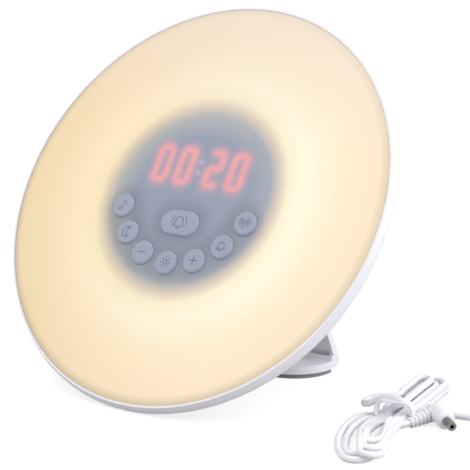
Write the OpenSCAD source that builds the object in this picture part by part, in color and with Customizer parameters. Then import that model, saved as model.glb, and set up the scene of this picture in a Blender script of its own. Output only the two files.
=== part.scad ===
/* [Case] */
// Lean of the clock's face back from upright, in degrees
lean = 33.4; // [28:0.2:38]
// Radius of the case at its front edge
face_r = 85; // [80:0.5:92]
// How far the rim swells past the front edge
rim_swell = 1.1; // [0.6:0.1:1.6]
// Radius of the rolled rim
rim_roll_r = 3.2; // [2.8:0.1:3.6]
// Depth of the roll's centre behind the front edge
rim_roll_depth = 3.6; // [3.2:0.1:4.2]
// Depth of the case from its front edge to its flat back
case_depth = 32; // [31:0.5:36]
// Radius of the flat part of the back
back_flat_r = 44; // [43.5:0.5:50]
// Radius of the round edge of the back
back_round_r = 8; // [6:0.5:10]
// Wall of the back shell
case_wall = 2; // [1.6:0.1:2.4]
// Depth of the underside of the lip that the light cover snaps behind
lip_depth = 3.1; // [2.8:0.1:3.4]

/* [Light cover] */
// Width of the thin rim round the cover's edge
rim_w = 0.8; // [0.6:0.05:1.2]
// How far the rim stands back behind the cover's edge
rim_drop = 0.5; // [0.2:0.1:0.8]
// Radius of the round edge of the cover
edge_round = 2; // [1.4:0.1:2.1]
// Depth of the underside of the cover's edge
edge_depth = 2.2; // [2.1:0.1:2.4]
// Width of the case's lip round the cover's skirt
lip_w = 1.65; // [1.4:0.05:2]
// Rise of the cover's middle over its edge
cover_rise = 2.6; // [1.5:0.1:4]
// Wall of the cover
cover_wall = 1.5; // [1.2:0.1:1.8]
// Depth of the cover's skirt
skirt_depth = 4.6; // [4.2:0.1:5.4]
// Height of the snap bead round the skirt
bead_out = 0.6; // [0.4:0.1:0.7]

/* [Keys] */
// Number of round keys on the arc
key_count = 7; // [7:1:7]
// Angle from one round key to the next
key_step = 23.2; // [22:0.1:24]
// Radius of the arc of keys
key_arc_r = 31.4; // [30:0.1:32]
// Height of the arc's middle over the middle of the face
key_arc_up = 3.7; // [3:0.1:4.5]
// Diameter of a round key
key_d = 9.8; // [9:0.1:10.4]
// Length of the oval snooze key
snooze_l = 17.8; // [16:0.1:20]
// Width of the oval snooze key
snooze_w = 10.5; // [10:0.1:11]
// Height of the snooze key under the middle of the face
snooze_drop = 11; // [10:0.2:12]
// Front of the keys ahead of the case's front edge
key_front = 3.4; // [3.2:0.1:4.4]
// Travel of a key
key_travel = 0.5; // [0.3:0.1:0.6]
// Radius of the round edge of a key
key_round_r = 0.8; // [0.4:0.1:1]
// How far a key's flange reaches past the key
flange_out = 0.9; // [0.6:0.1:1]
// Thickness of a key's flange
flange_t = 0.8; // [0.6:0.1:1]
// Diameter of a key's stem
stem_d = 3.4; // [2.6:0.1:4]

/* [Display] */
// Radius of the display housing
housing_r = 38.4; // [38:0.1:38.8]
// Wall of the display housing
housing_wall = 1.6; // [1.2:0.1:2]
// Depth of the display housing behind the front edge
housing_depth = 13; // [12:0.5:14]
// Width of the display module
module_w = 46.4; // [44:0.2:47]
// Height of the display module
module_h = 21; // [19:0.2:22]
// Depth of the display module
module_depth = 8; // [7.6:0.1:8.4]
// Height of the display's middle over the middle of the face
display_up = 12.8; // [12.6:0.1:13.6]
// Height of a digit between the middles of its bars
digit_h = 13.7; // [12:0.1:14.5]
// Width of a digit between the middles of its bars
digit_w = 5.2; // [4.8:0.1:6]
// Distance from one digit to the next
digit_pitch = 10.8; // [10.6:0.1:11.6]
// Distance from the middle of the display to the inner digits
digit_inner = 7; // [6.6:0.1:7.4]
// Width of a bar of a digit
bar_w = 1.5; // [1.1:0.1:1.8]

/* [Boards] */
// Thickness of the circuit boards
board_t = 1.6; // [1.2:0.1:1.8]
// Radius of the control board
control_r = 35.6; // [35:0.1:36]
// Side of a tact switch
switch_side = 6; // [5.6:0.1:6.4]
// Height of a tact switch's housing
switch_h = 3.4; // [3:0.1:3.6]
// Diameter of a tact switch's plunger
plunger_d = 3.3; // [2.8:0.1:3.5]
// Inner radius of the light ring board
ring_inner_r = 40; // [39.4:0.2:41]
// Outer radius of the light ring board
ring_outer_r = 56; // [54:0.5:58]
// Number of warm white lights
warm_count = 24; // [12:1:30]
// Number of coloured lights
colour_count = 8; // [4:1:10]
// Half width of the main board
main_half_w = 25; // [24:0.5:25.4]
// Height of the main board
main_h = 36; // [35:0.5:37]
// Height of the main board's front face over the inside of the back
main_lift = 9; // [8.5:0.5:10]

/* [Speaker] */
// Radius of the speaker
speaker_r = 18; // [16:0.5:18.5]
// Height of the speaker's axis over the middle of the face
speaker_up = 23; // [22.5:0.5:24]
// Depth of the speaker
speaker_depth = 14; // [12:0.5:14.5]
// Diameter of a sound hole
grille_hole_d = 2; // [1.2:0.1:2.4]
// Distance from one ring of sound holes to the next
grille_pitch = 4.2; // [3.6:0.1:4.4]
// Number of rings of sound holes
grille_rings = 3; // [1:1:3]

/* [Power and backup cell] */
// Diameter of the power inlet's bore
inlet_bore_d = 3.7; // [3.4:0.1:4]
// Depth of the power inlet's bore
inlet_bore_depth = 9; // [7:0.5:9]
// Diameter of the power inlet's centre pin
inlet_pin_d = 1.3; // [1:0.1:1.5]
// Diameter of the backup cell
cell_d = 20; // [19:0.5:20.5]
// Thickness of the backup cell
cell_t = 3.2; // [2.5:0.1:3.2]
// Radius of the cell door
door_r = 11.3; // [11:0.1:11.5]

/* [Stand] */
// Lean of the stand's back panel from upright, in degrees
prop_lean = 26; // [22:0.5:30]
// How far behind the rim's centre the back panel would meet the table
stand_reach = 51; // [48:0.5:52]
// How far behind the rim's centre the foot's front edge lies
foot_front = 24; // [20:0.5:28]
// Width of the foot
foot_w = 76; // [70:1:84]
// Radius of the foot's front corners
foot_corner_r = 18; // [12:0.5:20]
// Thickness of the foot plate
foot_t = 3.3; // [2.8:0.1:4]
// Thickness of the back panel
panel_t = 2.2; // [1.8:0.1:3]
// Width of the raised border of the back panel
border_w = 1.8; // [1.4:0.1:3]
// Height of the raised border of the back panel
border_h = 0.9; // [0.6:0.1:1.6]
// Radius of the round edge where the panel turns into the foot
heel_r = 3; // [2.6:0.1:3]
// Width of the plate that is screwed to the case
mount_w = 34; // [32:0.5:34]
// Thickness of the plate that is screwed to the case
mount_t = 3; // [2.6:0.1:3.6]
// Thickness of the rubber pad under the foot
pad_t = 2.6; // [2.2:0.1:3]
// How far the rubber pad stands out of the foot
pad_proud = 2; // [1.4:0.1:2.1]

/* [Lead] */
// Diameter of the power lead
lead_d = 2.6; // [2.2:0.1:3]
// Height of the tied hank
hank_h = 7.6; // [6:0.1:9]
// Diameter of the power plug's body
plug_d = 7.2; // [6.6:0.1:7.4]
// Diameter of the power plug's metal tip
tip_d = 3.5; // [3.3:0.1:3.6]
// Length of the power plug's metal tip
tip_l = 6; // [5:0.5:9]
// Width of the tie round the hank
tie_w = 4; // [2:0.5:5]

/* [Fits] */
// Gap round a piece that moves
move_gap = 0.3; // [0.25:0.05:0.4]
// Gap round a piece that is fixed
seat_gap = 0.15; // [0.1:0.05:0.25]
// Radius of a case screw's shank
case_screw_r = 1.3; // [1.1:0.1:1.5]
// Radius of a small screw's shank
small_screw_r = 0.9; // [0.8:0.1:1.1]

/* [Hidden] */
$fn = 96;
eps = 0.01;
over = 1;
big = 300;

// Case outline, as [radius, height] with the height negative behind the front edge
roll_c = [face_r + rim_swell - rim_roll_r, -rim_roll_depth];
turn_c = [back_flat_r, -(case_depth - back_round_r)];
roll_to_turn = turn_c - roll_c;
wall_angle = atan2(roll_to_turn.y, roll_to_turn.x)
    + acos((rim_roll_r - back_round_r) / norm(roll_to_turn));
wall_normal = [cos(wall_angle), sin(wall_angle)];
lip_r = face_r - lip_w;
skirt_r = lip_r - seat_gap;
cover_r = face_r - rim_w - seat_gap;
inner_back = case_depth - case_wall;

// Where the face's middle stands over the table and along the depth
rim_z = max(roll_c.x * cos(lean) - roll_c.y * sin(lean) + rim_roll_r,
    turn_c.x * cos(lean) - turn_c.y * sin(lean) + back_round_r);
rim_front = face_r * sin(lean);
rim_back = max(roll_c.x * sin(lean) - roll_c.y * cos(lean) + rim_roll_r,
    turn_c.x * sin(lean) - turn_c.y * cos(lean) + back_round_r);
rim_y = (rim_front - rim_back) / 2;

// Light cover
cover_steps = 14;
edge_steps = 8;
bead_lead = 0.4;
function cover_z(r) = cover_rise * (1 - pow(r / cover_r, 2));
ledge_z = -skirt_depth - seat_gap;
ledge_in = 1.8;
ledge_t = 1.4;

// Sloping wall: the height of a point at radius r and this far inside the outer face
wall_reach = roll_c * wall_normal + rim_roll_r;
function on_wall(r, in) = [r, (wall_reach - in - r * wall_normal.x) / wall_normal.y];
film_t = 0.8;
reflector_gap = case_wall + seat_gap;
reflector_in = 4.5;
reflector_low_r = ring_outer_r + 1.5;
reflector_high_r = skirt_r - reflector_in;

// Keys, from left to right, and the snooze key last
snooze = key_count;
function key_at(k) = k == snooze ? [0, -snooze_drop]
    : [key_arc_r * cos(-90 + (k - (key_count - 1) / 2) * key_step),
       key_arc_up + key_arc_r * sin(-90 + (k - (key_count - 1) / 2) * key_step)];
function key_size(k) = k == snooze ? [snooze_l, snooze_w] : [key_d, key_d];
flange_top = cover_z(norm(key_at(0)) + key_d / 2) - cover_wall - move_gap;
flange_bottom = flange_top - flange_t;

// Depths inside the case
plate_top = cover_z(housing_r) - cover_wall - seat_gap;
plate_t = 1.6;
face_z = plate_top + 0.2;
control_z = face_z - module_depth;
switch_top = control_z + switch_h;
plunger_top = switch_top + 1;
plunger_sunk = 0.6;
ring_z = -housing_depth;
front_z = -inner_back;
main_z = front_z + main_lift;
bar_depth = 0.5;
bar_gap = 0.35;
colon_d = 1.5;
colon_up = digit_h / 6;
digit_places = [for (x = [digit_inner, digit_inner + digit_pitch], s = [-1, 1]) s * x];

// Case screws, on posts inside the display housing's wall
case_screw_r0 = 33.5;
case_screw_places = [for (a = [31, 149, -27.5, -152.5]) case_screw_r0 * [cos(a), sin(a)]];
post_r = 3.4;
tube_r = 4;
well_r = 2.9;
post_over = 0.4;
post_end = ring_z - board_t - post_over;
screw_seat = -22;
screw_end_gap = 0.5;
head_r = 2.5;
head_h = 1.8;
case_screw_l = 15;
screw_gap = 0.05;

// Small screws
small_head_r = 1.9;
small_head_h = 1.2;
housing_screw_places = [[-14, 28.2], [14, 28.2], [-18, -9], [18, -9]];
board_post_r = 2.4;
ring_post_r = 2.3;
ring_screw_in = 3;
ring_screw_r = ring_outer_r - ring_screw_in;
ring_screw_count = 6;
ring_screw_places = [for (k = [0.5:ring_screw_count])
    ring_screw_r * [cos(k * 360 / ring_screw_count), sin(k * 360 / ring_screw_count)]];
ring_post_foot = on_wall(ring_screw_r + ring_post_r, case_wall * 0.6).y;
main_post_r = 2.7;
main_screw_places = [[21.5, -3.5], [21.5, -32.5], [-21.5, -15], [-21.5, -32.5]];
small_screw_l = 5;
stand_screw_in = 6;
stand_screw_low = 13;
stand_screw_pitch = 14;
stand_screw_l = 7;
stand_boss_r = 3;
stand_boss_h = 5;

// Chips, as [x, y, width, height, thickness], and what else the boards carry
control_chip_list = [[-6, 4, 12, 10, 1.6], [12, 6, 8, 6, 1.5], [-20, 6, 8, 6, 1.5]];
control_small_chip = [-16, -6, 2, 1.2, 0.6];
control_small_count = 9;
control_small_pitch = 4;
main_chip_list = [[-8, -24, 10, 8, 1.7], [6, -32, 5, 4, 1.5], [-16, -10, 6, 5, 1.5]];
main_small_chip = [-12, -13, 1.6, 0.9, 0.5];
main_small_count = 10;
main_small_pitch = 3;
capacitor_places = [[14, -24], [14, -16.5], [-15, -30.5]];
capacitor_d = 6.3;
capacitor_h = 5.4;
shield_at = [-19, -25];
shield = [10, 9, 2.6];
shield_wall = 0.3;
warm_light = [3.5, 2.8, 0.8];
warm_light_r = 46.5;
colour_light = [4, 4, 1.4];
colour_light_in = 0.6;
wire_plug = [8, 5, 5];
wire_plug_in = 2;
wire_plug_ring_x = 8;
wire_plug_speaker_x = -4;
wire_r = 0.6;
wire_pitch = 2;
wire_out = wire_plug.z - 1.4;
wire_bend = 1.7;
wire_shift = 2;
wire_drop = 3.6;
wire_low = main_z + wire_out;
wire_run = (main_z + wire_plug.z + control_z - board_t) / 2;
speaker_x = wire_plug_speaker_x + (wire_plug.x - wire_pitch) / 2;
speaker_tag_y = speaker_up - speaker_r + wire_out;
speaker_route = [[speaker_x, -wire_plug_in, wire_low], [speaker_x, wire_bend / 2, wire_low],
    [speaker_x, 2 * wire_bend, main_z + wire_bend], [speaker_x, 3 * wire_bend, main_z - board_t],
    [speaker_x, speaker_tag_y, front_z + wire_drop]];
ring_x = wire_plug_ring_x + (wire_plug.x - wire_pitch) / 2;
ring_back_z = ring_z - board_t;
ring_route = [[ring_x, -wire_plug_in, wire_low], [ring_x, 0, wire_low],
    [ring_x, wire_bend, (wire_low + wire_run) / 2], [ring_x, 0, wire_run],
    [ring_x + wire_shift * 0.2, -ring_inner_r * 0.7, wire_run],
    [ring_x + wire_shift * 0.8, -ring_inner_r + wire_r, ring_back_z - wire_drop],
    [ring_x + wire_shift, -ring_inner_r - 2 * wire_bend, ring_back_z - wire_drop * 0.6],
    [ring_x + wire_shift, -ring_inner_r - 2 * wire_bend - wire_r, ring_back_z - move_gap]];
ribbon_x = -14;
ribbon_w = 9;
ribbon_t = 0.8;
ribbon_high = -12;
ribbon_low = -15;
ribbon_bend = 4;

// Speaker
speaker_c = [0, speaker_up];
basket_t = 1.2;
basket_wall = 0.9;
magnet_r = speaker_r / 2;
magnet_t = 4.5;
basket_h = speaker_depth - magnet_t;
speaker_screw_out = 2.5;
speaker_screw_places = [for (a = [30, 150, 270])
    speaker_c + (speaker_r + speaker_screw_out) * [cos(a), sin(a)]];
speaker_post_r = 2.2;
speaker_head_r = 3.2;
speaker_screw_bite = 1;
basket_rim_w = 1.5;
basket_lap = 0.6;
basket_hole_in = 4;
basket_hole_r = magnet_r - basket_hole_in;
voice_coil_r = 5;
cone_t = 0.5;
cone_deep = 3.4;
surround_w = 2;
surround_h = 0.8;

// Power inlet and backup cell
inlet_at = [33, -2];
inlet_side = 9;
nose_r = 3.8;
ear = [inlet_at.x + inlet_side / 2 + over - main_half_w, 14];
cell_at = [-31.5, 0.8];
contact_t = 0.3;
contact_w = 5;
contact_l = 12;
cell_step = 0.6;
cell_seal = 1.2;
inlet_pin_in = 1.5;
door_t = 2.8;
lug_t = 0.9;
lug_out = 1.1;
lug_angle = 34;
notch_more = 4;
unlock_turn = 45;
lug_lead = 1.9;
door_back = -case_depth;
cell_top = door_back + door_t + move_gap;
cell_bottom = cell_top + cell_t;
pocket_floor = cell_bottom + contact_t;
pocket_r = door_r + move_gap;
pocket_wall = 2;
coin_slot = [13, 1.8, 1];

// Stand, in the plane of its side view as [y, z]
function side(v, w) = [rim_y + v * sin(lean) + w * cos(lean),
    rim_z + v * cos(lean) - w * sin(lean)];
foot_z = pad_proud;
prop_foot_y = rim_y + stand_reach;
heel_c = [prop_foot_y - (foot_z * sin(prop_lean) + heel_r * (1 + sin(prop_lean)))
    / cos(prop_lean), foot_z + heel_r];
function prop_s(w) = (stand_reach * cos(lean) + rim_z * sin(lean) - w)
    / sin(prop_lean + lean);
function prop_point(s, in) = [prop_foot_y - s * sin(prop_lean) - in * cos(prop_lean),
    s * cos(prop_lean) - in * sin(prop_lean)];
heel_s = (prop_foot_y - heel_c.x) * sin(prop_lean) + heel_c.y * cos(prop_lean);
prop_top = prop_s(case_depth);
prop_straight = 20;
recess_low = (foot_z + foot_t + (panel_t + border_h) * sin(prop_lean)) / cos(prop_lean) + 0.6;
mount_over = 4.6;
mount_h = 33;
mount_high = (prop_top * cos(prop_lean) - rim_z + case_depth * sin(lean)) / cos(lean)
    + mount_over;
mount_low = mount_high - mount_h;
stand_screw_places = [for (x = [-1, 1], k = [0, 1]) [x * (mount_w / 2 - stand_screw_in),
    mount_high - stand_screw_low - k * stand_screw_pitch]];
mount_round_r = 5;
rib_t = 2.4;
rib_run = 36;
rib_reach = prop_top - rib_run;
rib_in = 2;
foot_half = foot_w / 2;
pad_inset = 1.2;

// Lead: places on the table, as [x, y, height] or [x, y]
lead_r = lead_d / 2;
tube_sides = 8;
lobe_near = [99, -38];
lobe_near_r = 13.5;
lobe_far = [89, -16.5];
lobe_far_r = 12.5;
bundle_near = [90.5, -4];
bundle_far = [82, 43];
bundle_r = 6.2;
plug_start = [98.4, -1.4, 1.8];
plug_bend = [103.9, 9.6, 4.5];
plug_end = [111.8, 2.6, 4];
tip_end = plug_end + (plug_end - plug_bend) * tip_l / norm(plug_end - plug_bend);
tail_plug = [[94.6, -7, 1.6], [96, -5.2, 1.6], [97.3, -3.4, 1.7], [98.4, -1.4, 1.8]];
tail_usb = [[94.6, -1, 1.6], [95.9, 1.6, 1.5], [96.9, 4.2, 1.4], [97.9, 7.2, 1.4],
    [99.6, 10.8, 1.4], [102.2, 14.2, 1.4], [105.6, 16.9, 1.4], [110, 18.2, 1.4],
    [113.6, 18.8, 1.4], [116.7, 20.6, 1.4], [119, 23.4, 1.5], [120.2, 26.8, 1.7],
    [120.3, 30.4, 2.2], [119.6, 33.6, 2.8]];
usb_start = [119.6, 33.6, 2.8];
usb_mid = [117, 42.2, 3.4];
usb_turn = atan2(usb_mid.y - usb_start.y, usb_mid.x - usb_start.x);
usb_body_size = [19, 13.4, 6.8];
usb_shell_size = [12, 12, 4.5];
usb_shell_wall = 0.4;
usb_relief_r = 2.6;
usb_floor = 1;
usb_tongue_t = 1.8;
relief_ribs = 5;
relief_wall = 0.25;
relief_r = 1.9;
relief_step = 0.16;
tie_t = 0.8;
tip_floor = 1;

case_white = "#f4f3f1";
cover_milk = "#f6e6c8";
key_milk = "#b4bdc9";
housing_grey = "#5c636e";
board_green = "#1f5a3c";
board_white = "#f2f2ee";
chip_black = "#26282b";
metal_grey = "#a9adb3";
rubber_grey = "#6a6c70";

// The clock's own frame: X right, Y up the face, Z out of the face
module on_face() translate([0, rim_y, rim_z]) rotate([90 - lean, 0, 0]) children();

// Puts Z along the way from one point to another
module aim(from, to) {
    d = to - from;
    translate(from) rotate([0, acos(d.z / norm(d)), atan2(d.y, d.x)]) children();
}

module case_region(in) {
    roll_r = rim_roll_r - in;
    turn_r = back_round_r - in;
    edge = [face_r - in, -rim_drop];
    to_edge = edge - roll_c;
    touch_angle = atan2(to_edge.y, to_edge.x) - acos(roll_r / norm(to_edge));
    polygon([[0, -rim_drop], edge, roll_c + roll_r * [cos(touch_angle), sin(touch_angle)], roll_c,
        roll_c + roll_r * wall_normal, turn_c + turn_r * wall_normal, turn_c,
        [turn_c.x, in - case_depth], [0, in - case_depth]]);
    translate(roll_c) circle(r = roll_r);
    translate(turn_c) circle(r = turn_r);
}

module case_void() {
    intersection() {
        case_region(case_wall);
        translate([0, -case_depth]) square([face_r * 2, case_depth - lip_depth]);
    }
    translate([0, -lip_depth - eps]) square([lip_r, lip_depth + 1]);
    translate([0, -edge_depth - seat_gap]) square([cover_r + seat_gap, edge_depth + 1]);
}

// A round peg between two depths
module peg(r, from, to) translate([0, 0, min(from, to)]) cylinder(r = r, h = abs(to - from));

// A peg with a round-ended or round outline between two depths
module oval(size, from, to) translate([0, 0, from]) {
    span = size.x - size.y;
    for (x = span > 0 ? [-span / 2, span / 2] : [0])
        translate([x, 0, 0]) cylinder(d = size.y, h = to - from);
    if (span > 0)
        translate([-span / 2, -size.y / 2, 0]) cube([span, size.y, to - from]);
}

// Copies a piece to each of the places on the face
module at(places) for (p = places) translate([p.x, p.y, 0]) children();

// A cross-headed screw, with the underside of its head at height 0
module screw(shank_r, shank_l, top_r, top_h) {
    cross_l = top_r * 1.2;
    cross_w = top_r * 0.24;
    difference() {
        union() {
            cylinder(r = top_r, h = top_h);
            translate([0, 0, -shank_l]) cylinder(r = shank_r, h = shank_l + eps);
        }
        for (a = [0, 90])
            rotate(a) translate([-cross_l / 2, -cross_w / 2, top_h / 2])
                cube([cross_l, cross_w, top_h]);
    }
}

// ---- Case ----

module cell_pocket() at([cell_at])
    peg(pocket_r + pocket_wall, -inner_back - eps, pocket_floor + pocket_wall);

module cell_pocket_cut() at([cell_at]) {
    peg(pocket_r, -case_depth - over, pocket_floor);
    peg(pocket_r + lug_out, door_back + lug_lead - move_gap,
        door_back + lug_lead + lug_t + move_gap);
    for (a = [0, 180])
        rotate(a + unlock_turn) sector(pocket_r + lug_out, lug_angle + notch_more,
            -case_depth - over, door_back + lug_lead);
}

// A wedge of a disc, centred on X
module sector(r, angle, from, to) translate([0, 0, min(from, to)])
    rotate([0, 0, -angle / 2]) rotate_extrude(angle = angle) square([r, abs(to - from)]);

module grille_holes() translate([speaker_c.x, speaker_c.y, 0]) {
    sound_hole();
    for (ring = [1:grille_rings])
        for (k = [0:ring * 6 - 1])
            rotate(k * 60 / ring) translate([ring * grille_pitch, 0, 0]) sound_hole();
}

module sound_hole() peg(grille_hole_d / 2, -case_depth - over, -inner_back + over);

module back_shell() color(case_white) on_face() difference() {
    union() {
        rotate_extrude() difference() {
            case_region(0);
            case_void();
        }
        rotate_extrude() translate([skirt_r - ledge_in, ledge_z - ledge_t])
            square([ledge_in + 1, ledge_t]);
        at(case_screw_places) peg(tube_r, post_end, -inner_back - eps);
        at(main_screw_places) peg(main_post_r, main_z - board_t, -inner_back - eps);
        at(ring_screw_places) peg(ring_post_r, ring_z - board_t, ring_post_foot);
        at(speaker_screw_places) peg(speaker_post_r, front_z + basket_t, front_z - eps);
        cell_pocket();
    }
    at(case_screw_places) {
        peg(well_r, screw_seat, -case_depth - over);
        peg(case_screw_r + seat_gap, post_end + over, screw_seat - over);
    }
    at(main_screw_places) peg(small_screw_r + screw_gap, main_z, main_z - small_screw_l);
    at(ring_screw_places) peg(small_screw_r + screw_gap, ring_z, ring_z - small_screw_l - over);
    at(speaker_screw_places)
        peg(small_screw_r + screw_gap, front_z + basket_t + over, front_z - speaker_screw_bite);
    at(stand_screw_places)
        peg(case_screw_r + seat_gap, -case_depth - over, -inner_back + over);
    at([inlet_at]) peg(nose_r + seat_gap, -case_depth - over, -inner_back + over);
    grille_holes();
    cell_pocket_cut();
}

// The cover's half section: a dome with a round edge, over a skirt with a snap bead
module cover_section() {
    round_c = [cover_r - edge_round, cover_z(cover_r - edge_round) - edge_round];
    wall_r = skirt_r - cover_wall;
    polygon(concat(
        [for (i = [0:cover_steps]) let (r = round_c.x * i / cover_steps) [r, cover_z(r)]],
        [for (i = [1:edge_steps]) let (a = 90 - 90 * i / edge_steps)
            round_c + edge_round * [cos(a), sin(a)]],
        [[cover_r, -edge_depth], [skirt_r, -edge_depth],
         [skirt_r, -lip_depth - seat_gap], [skirt_r + bead_out, -lip_depth - 2 * seat_gap],
         [skirt_r + bead_out, -skirt_depth + bead_lead], [skirt_r, -skirt_depth],
         [wall_r, -skirt_depth]],
        [for (i = [cover_steps:-1:0]) let (r = wall_r * i / cover_steps)
            [r, cover_z(r) - cover_wall]]));
}

module light_cover() color(cover_milk) on_face() difference() {
    rotate_extrude() cover_section();
    for (k = [0:snooze]) let (p = key_at(k), s = key_size(k))
        at([p]) oval([s.x + 2 * move_gap, s.y + 2 * move_gap], -cover_wall - over,
            cover_rise + over);
}

module reflector() color(board_white) on_face() rotate_extrude()
    polygon([on_wall(reflector_low_r, reflector_gap), on_wall(reflector_high_r, reflector_gap),
        on_wall(reflector_high_r, reflector_gap + film_t),
        on_wall(reflector_low_r, reflector_gap + film_t)]);

// ---- Display and keys ----

module display_housing() color(housing_grey) on_face() difference() {
    union() {
        peg(housing_r, plate_top, plate_top - plate_t);
        difference() {
            peg(housing_r, plate_top, ring_z);
            peg(housing_r - housing_wall, plate_top, ring_z - 1);
        }
        at(case_screw_places) peg(post_r, plate_top - plate_t + eps, post_end);
        at(housing_screw_places) peg(board_post_r, plate_top - plate_t + eps, control_z);
    }
    translate([-module_w / 2 - seat_gap, display_up - module_h / 2 - seat_gap,
            plate_top - plate_t - over])
        cube([module_w + 2 * seat_gap, module_h + 2 * seat_gap, plate_t + 2 * over]);
    for (k = [0:snooze]) let (s = key_size(k), out = 2 * (flange_out + move_gap))
        at([key_at(k)])
            oval([s.x + out, s.y + out], plate_top - plate_t - over, plate_top + over);
    at(case_screw_places)
        peg(case_screw_r + screw_gap, post_end - over, screw_seat + case_screw_l + screw_end_gap);
    at(housing_screw_places)
        peg(small_screw_r + screw_gap, control_z - over, control_z + small_screw_l - board_t);
}

// A bar of a digit, with pointed ends and a gap to its neighbours
module bar(l) {
    half = l / 2 - bar_gap;
    tip = bar_w / 2;
    polygon([[-half, 0], [-half + tip, tip], [half - tip, tip], [half, 0],
        [half - tip, -tip], [-half + tip, -tip]]);
}

module digit_bars() {
    for (y = [-digit_h / 2, 0, digit_h / 2]) translate([0, y]) bar(digit_w);
    for (x = [-digit_w / 2, digit_w / 2], y = [-digit_h / 4, digit_h / 4])
        translate([x, y]) rotate(90) bar(digit_h / 2);
}

module all_bars(h) translate([0, display_up, 0]) {
    for (x = digit_places) translate([x, 0, 0]) linear_extrude(h) digit_bars();
    for (y = [-colon_up, colon_up]) translate([0, y, 0]) cylinder(d = colon_d, h = h);
}

module display_module() color(chip_black) on_face() difference() {
    translate([-module_w / 2, display_up - module_h / 2, control_z])
        cube([module_w, module_h, module_depth]);
    translate([0, 0, face_z - bar_depth]) all_bars(bar_depth + over);
}

module display_bars() color("#e8484f") on_face()
    translate([0, 0, face_z - bar_depth]) all_bars(bar_depth);

module key(k) color(key_milk) on_face() {
    p = key_at(k);
    s = key_size(k);
    span = s.x - s.y;
    translate([p.x, p.y, 0]) {
        for (way = span > 0 ? [-1, 1] : [1])
            translate([way * span / 2, 0, 0]) rotate(-90 * way)
                rotate_extrude(angle = span > 0 ? 180 : 360) key_section(s.y / 2);
        if (span > 0)
            translate([-span / 2, 0, 0]) rotate([90, 0, 90]) linear_extrude(span) {
                key_section(s.y / 2);
                mirror([1, 0]) key_section(s.y / 2);
                translate([-over, flange_bottom]) square([2 * over, key_front - flange_bottom]);
            }
        peg(stem_d / 2, flange_bottom + eps, plunger_top);
    }
}

// Half of a key's section: the cap with its round edge, over the flange
module key_section(r) {
    translate([0, flange_bottom]) square([r + flange_out, flange_t]);
    translate([0, flange_bottom]) square([r, key_front - key_round_r - flange_bottom]);
    translate([0, flange_bottom]) square([r - key_round_r, key_front - flange_bottom]);
    translate([r - key_round_r, key_front - key_round_r]) circle(r = key_round_r);
}

module key_sound() key(0);
module key_sleep() key(1);
module key_minus() key(2);
module key_light() key(3);
module key_plus() key(4);
module key_alarm() key(5);
module key_radio() key(6);
module key_snooze() key(snooze);

module plunger(k) color(chip_black) on_face() at([key_at(k)])
    peg(plunger_d / 2, plunger_top, switch_top - plunger_sunk);

module plunger_sound() plunger(0);
module plunger_sleep() plunger(1);
module plunger_minus() plunger(2);
module plunger_light() plunger(3);
module plunger_plus() plunger(4);
module plunger_alarm() plunger(5);
module plunger_radio() plunger(6);
module plunger_snooze() plunger(snooze);

module switch_housings() color(metal_grey) on_face()
    for (k = [0:snooze]) at([key_at(k)]) difference() {
        translate([-switch_side / 2, -switch_side / 2, control_z])
            cube([switch_side, switch_side, switch_h]);
        peg(plunger_d / 2 + move_gap, switch_top + over,
            switch_top - plunger_sunk - key_travel - move_gap);
    }

module control_board() color(board_green) on_face() difference() {
    peg(control_r, control_z, control_z - board_t);
    at(case_screw_places)
        peg(post_r + seat_gap, control_z + over, control_z - board_t - over);
    at(housing_screw_places)
        peg(small_screw_r + seat_gap, control_z + over, control_z - board_t - over);
}

module control_chips() color(chip_black) on_face()
    translate([0, 0, control_z - board_t]) mirror([0, 0, 1]) {
        for (c = control_chip_list) chip(c);
        for (k = [0:control_small_count - 1]) translate([k * control_small_pitch, 0, 0])
            chip(control_small_chip);
    }

// A flat chip, from the list of its corner and its size
module chip(c) translate([c[0], c[1], 0]) cube([c[2], c[3], c[4]]);

// ---- Light ring ----

module light_ring_board() color(board_white) on_face() difference() {
    peg(ring_outer_r, ring_z, ring_z - board_t);
    peg(ring_inner_r, ring_z + over, ring_z - board_t - over);
    at(ring_screw_places)
        peg(small_screw_r + seat_gap, ring_z + over, ring_z - board_t - over);
}

// Lights in a circle on the ring board, from the inner edge of the circle and a light's size
module light_circle(count, turn, r, size) on_face() for (k = [0:count - 1])
    rotate(k * 360 / count + turn) translate([r, -size.y / 2, ring_z]) cube(size);

module warm_lights() color("#f7d774")
    light_circle(warm_count, 180 / warm_count, warm_light_r, warm_light);

module colour_lights() color("#f0f0ec")
    light_circle(colour_count, 180 / warm_count, ring_inner_r + colour_light_in, colour_light);

// ---- Main board ----

module main_board() color(board_green) on_face() difference() {
    union() {
        translate([-main_half_w, -main_h, main_z - board_t])
            cube([2 * main_half_w, main_h, board_t]);
        translate([main_half_w - eps, inlet_at.y - ear.y / 2, main_z - board_t])
            cube([ear.x, ear.y, board_t]);
    }
    at(main_screw_places)
        peg(small_screw_r + seat_gap, main_z + over, main_z - board_t - over);
}

module main_chips() color(chip_black) on_face() translate([0, 0, main_z]) {
    for (c = main_chip_list) chip(c);
    for (x = [wire_plug_ring_x, wire_plug_speaker_x])
        translate([x, -wire_plug.y - wire_plug_in, 0]) cube(wire_plug);
    for (k = [0:main_small_count - 1]) translate([k * main_small_pitch, 0, 0])
        chip(main_small_chip);
}

module capacitors() color("#30343a") on_face() translate([0, 0, main_z])
    at(capacitor_places) cylinder(d = capacitor_d, h = capacitor_h);

module radio_shield() color(metal_grey) on_face()
    translate([shield_at.x, shield_at.y, main_z]) difference() {
        cube(shield);
        translate([shield_wall, shield_wall, -eps])
            cube(shield - [2 * shield_wall, 2 * shield_wall, shield_wall]);
    }

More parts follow.
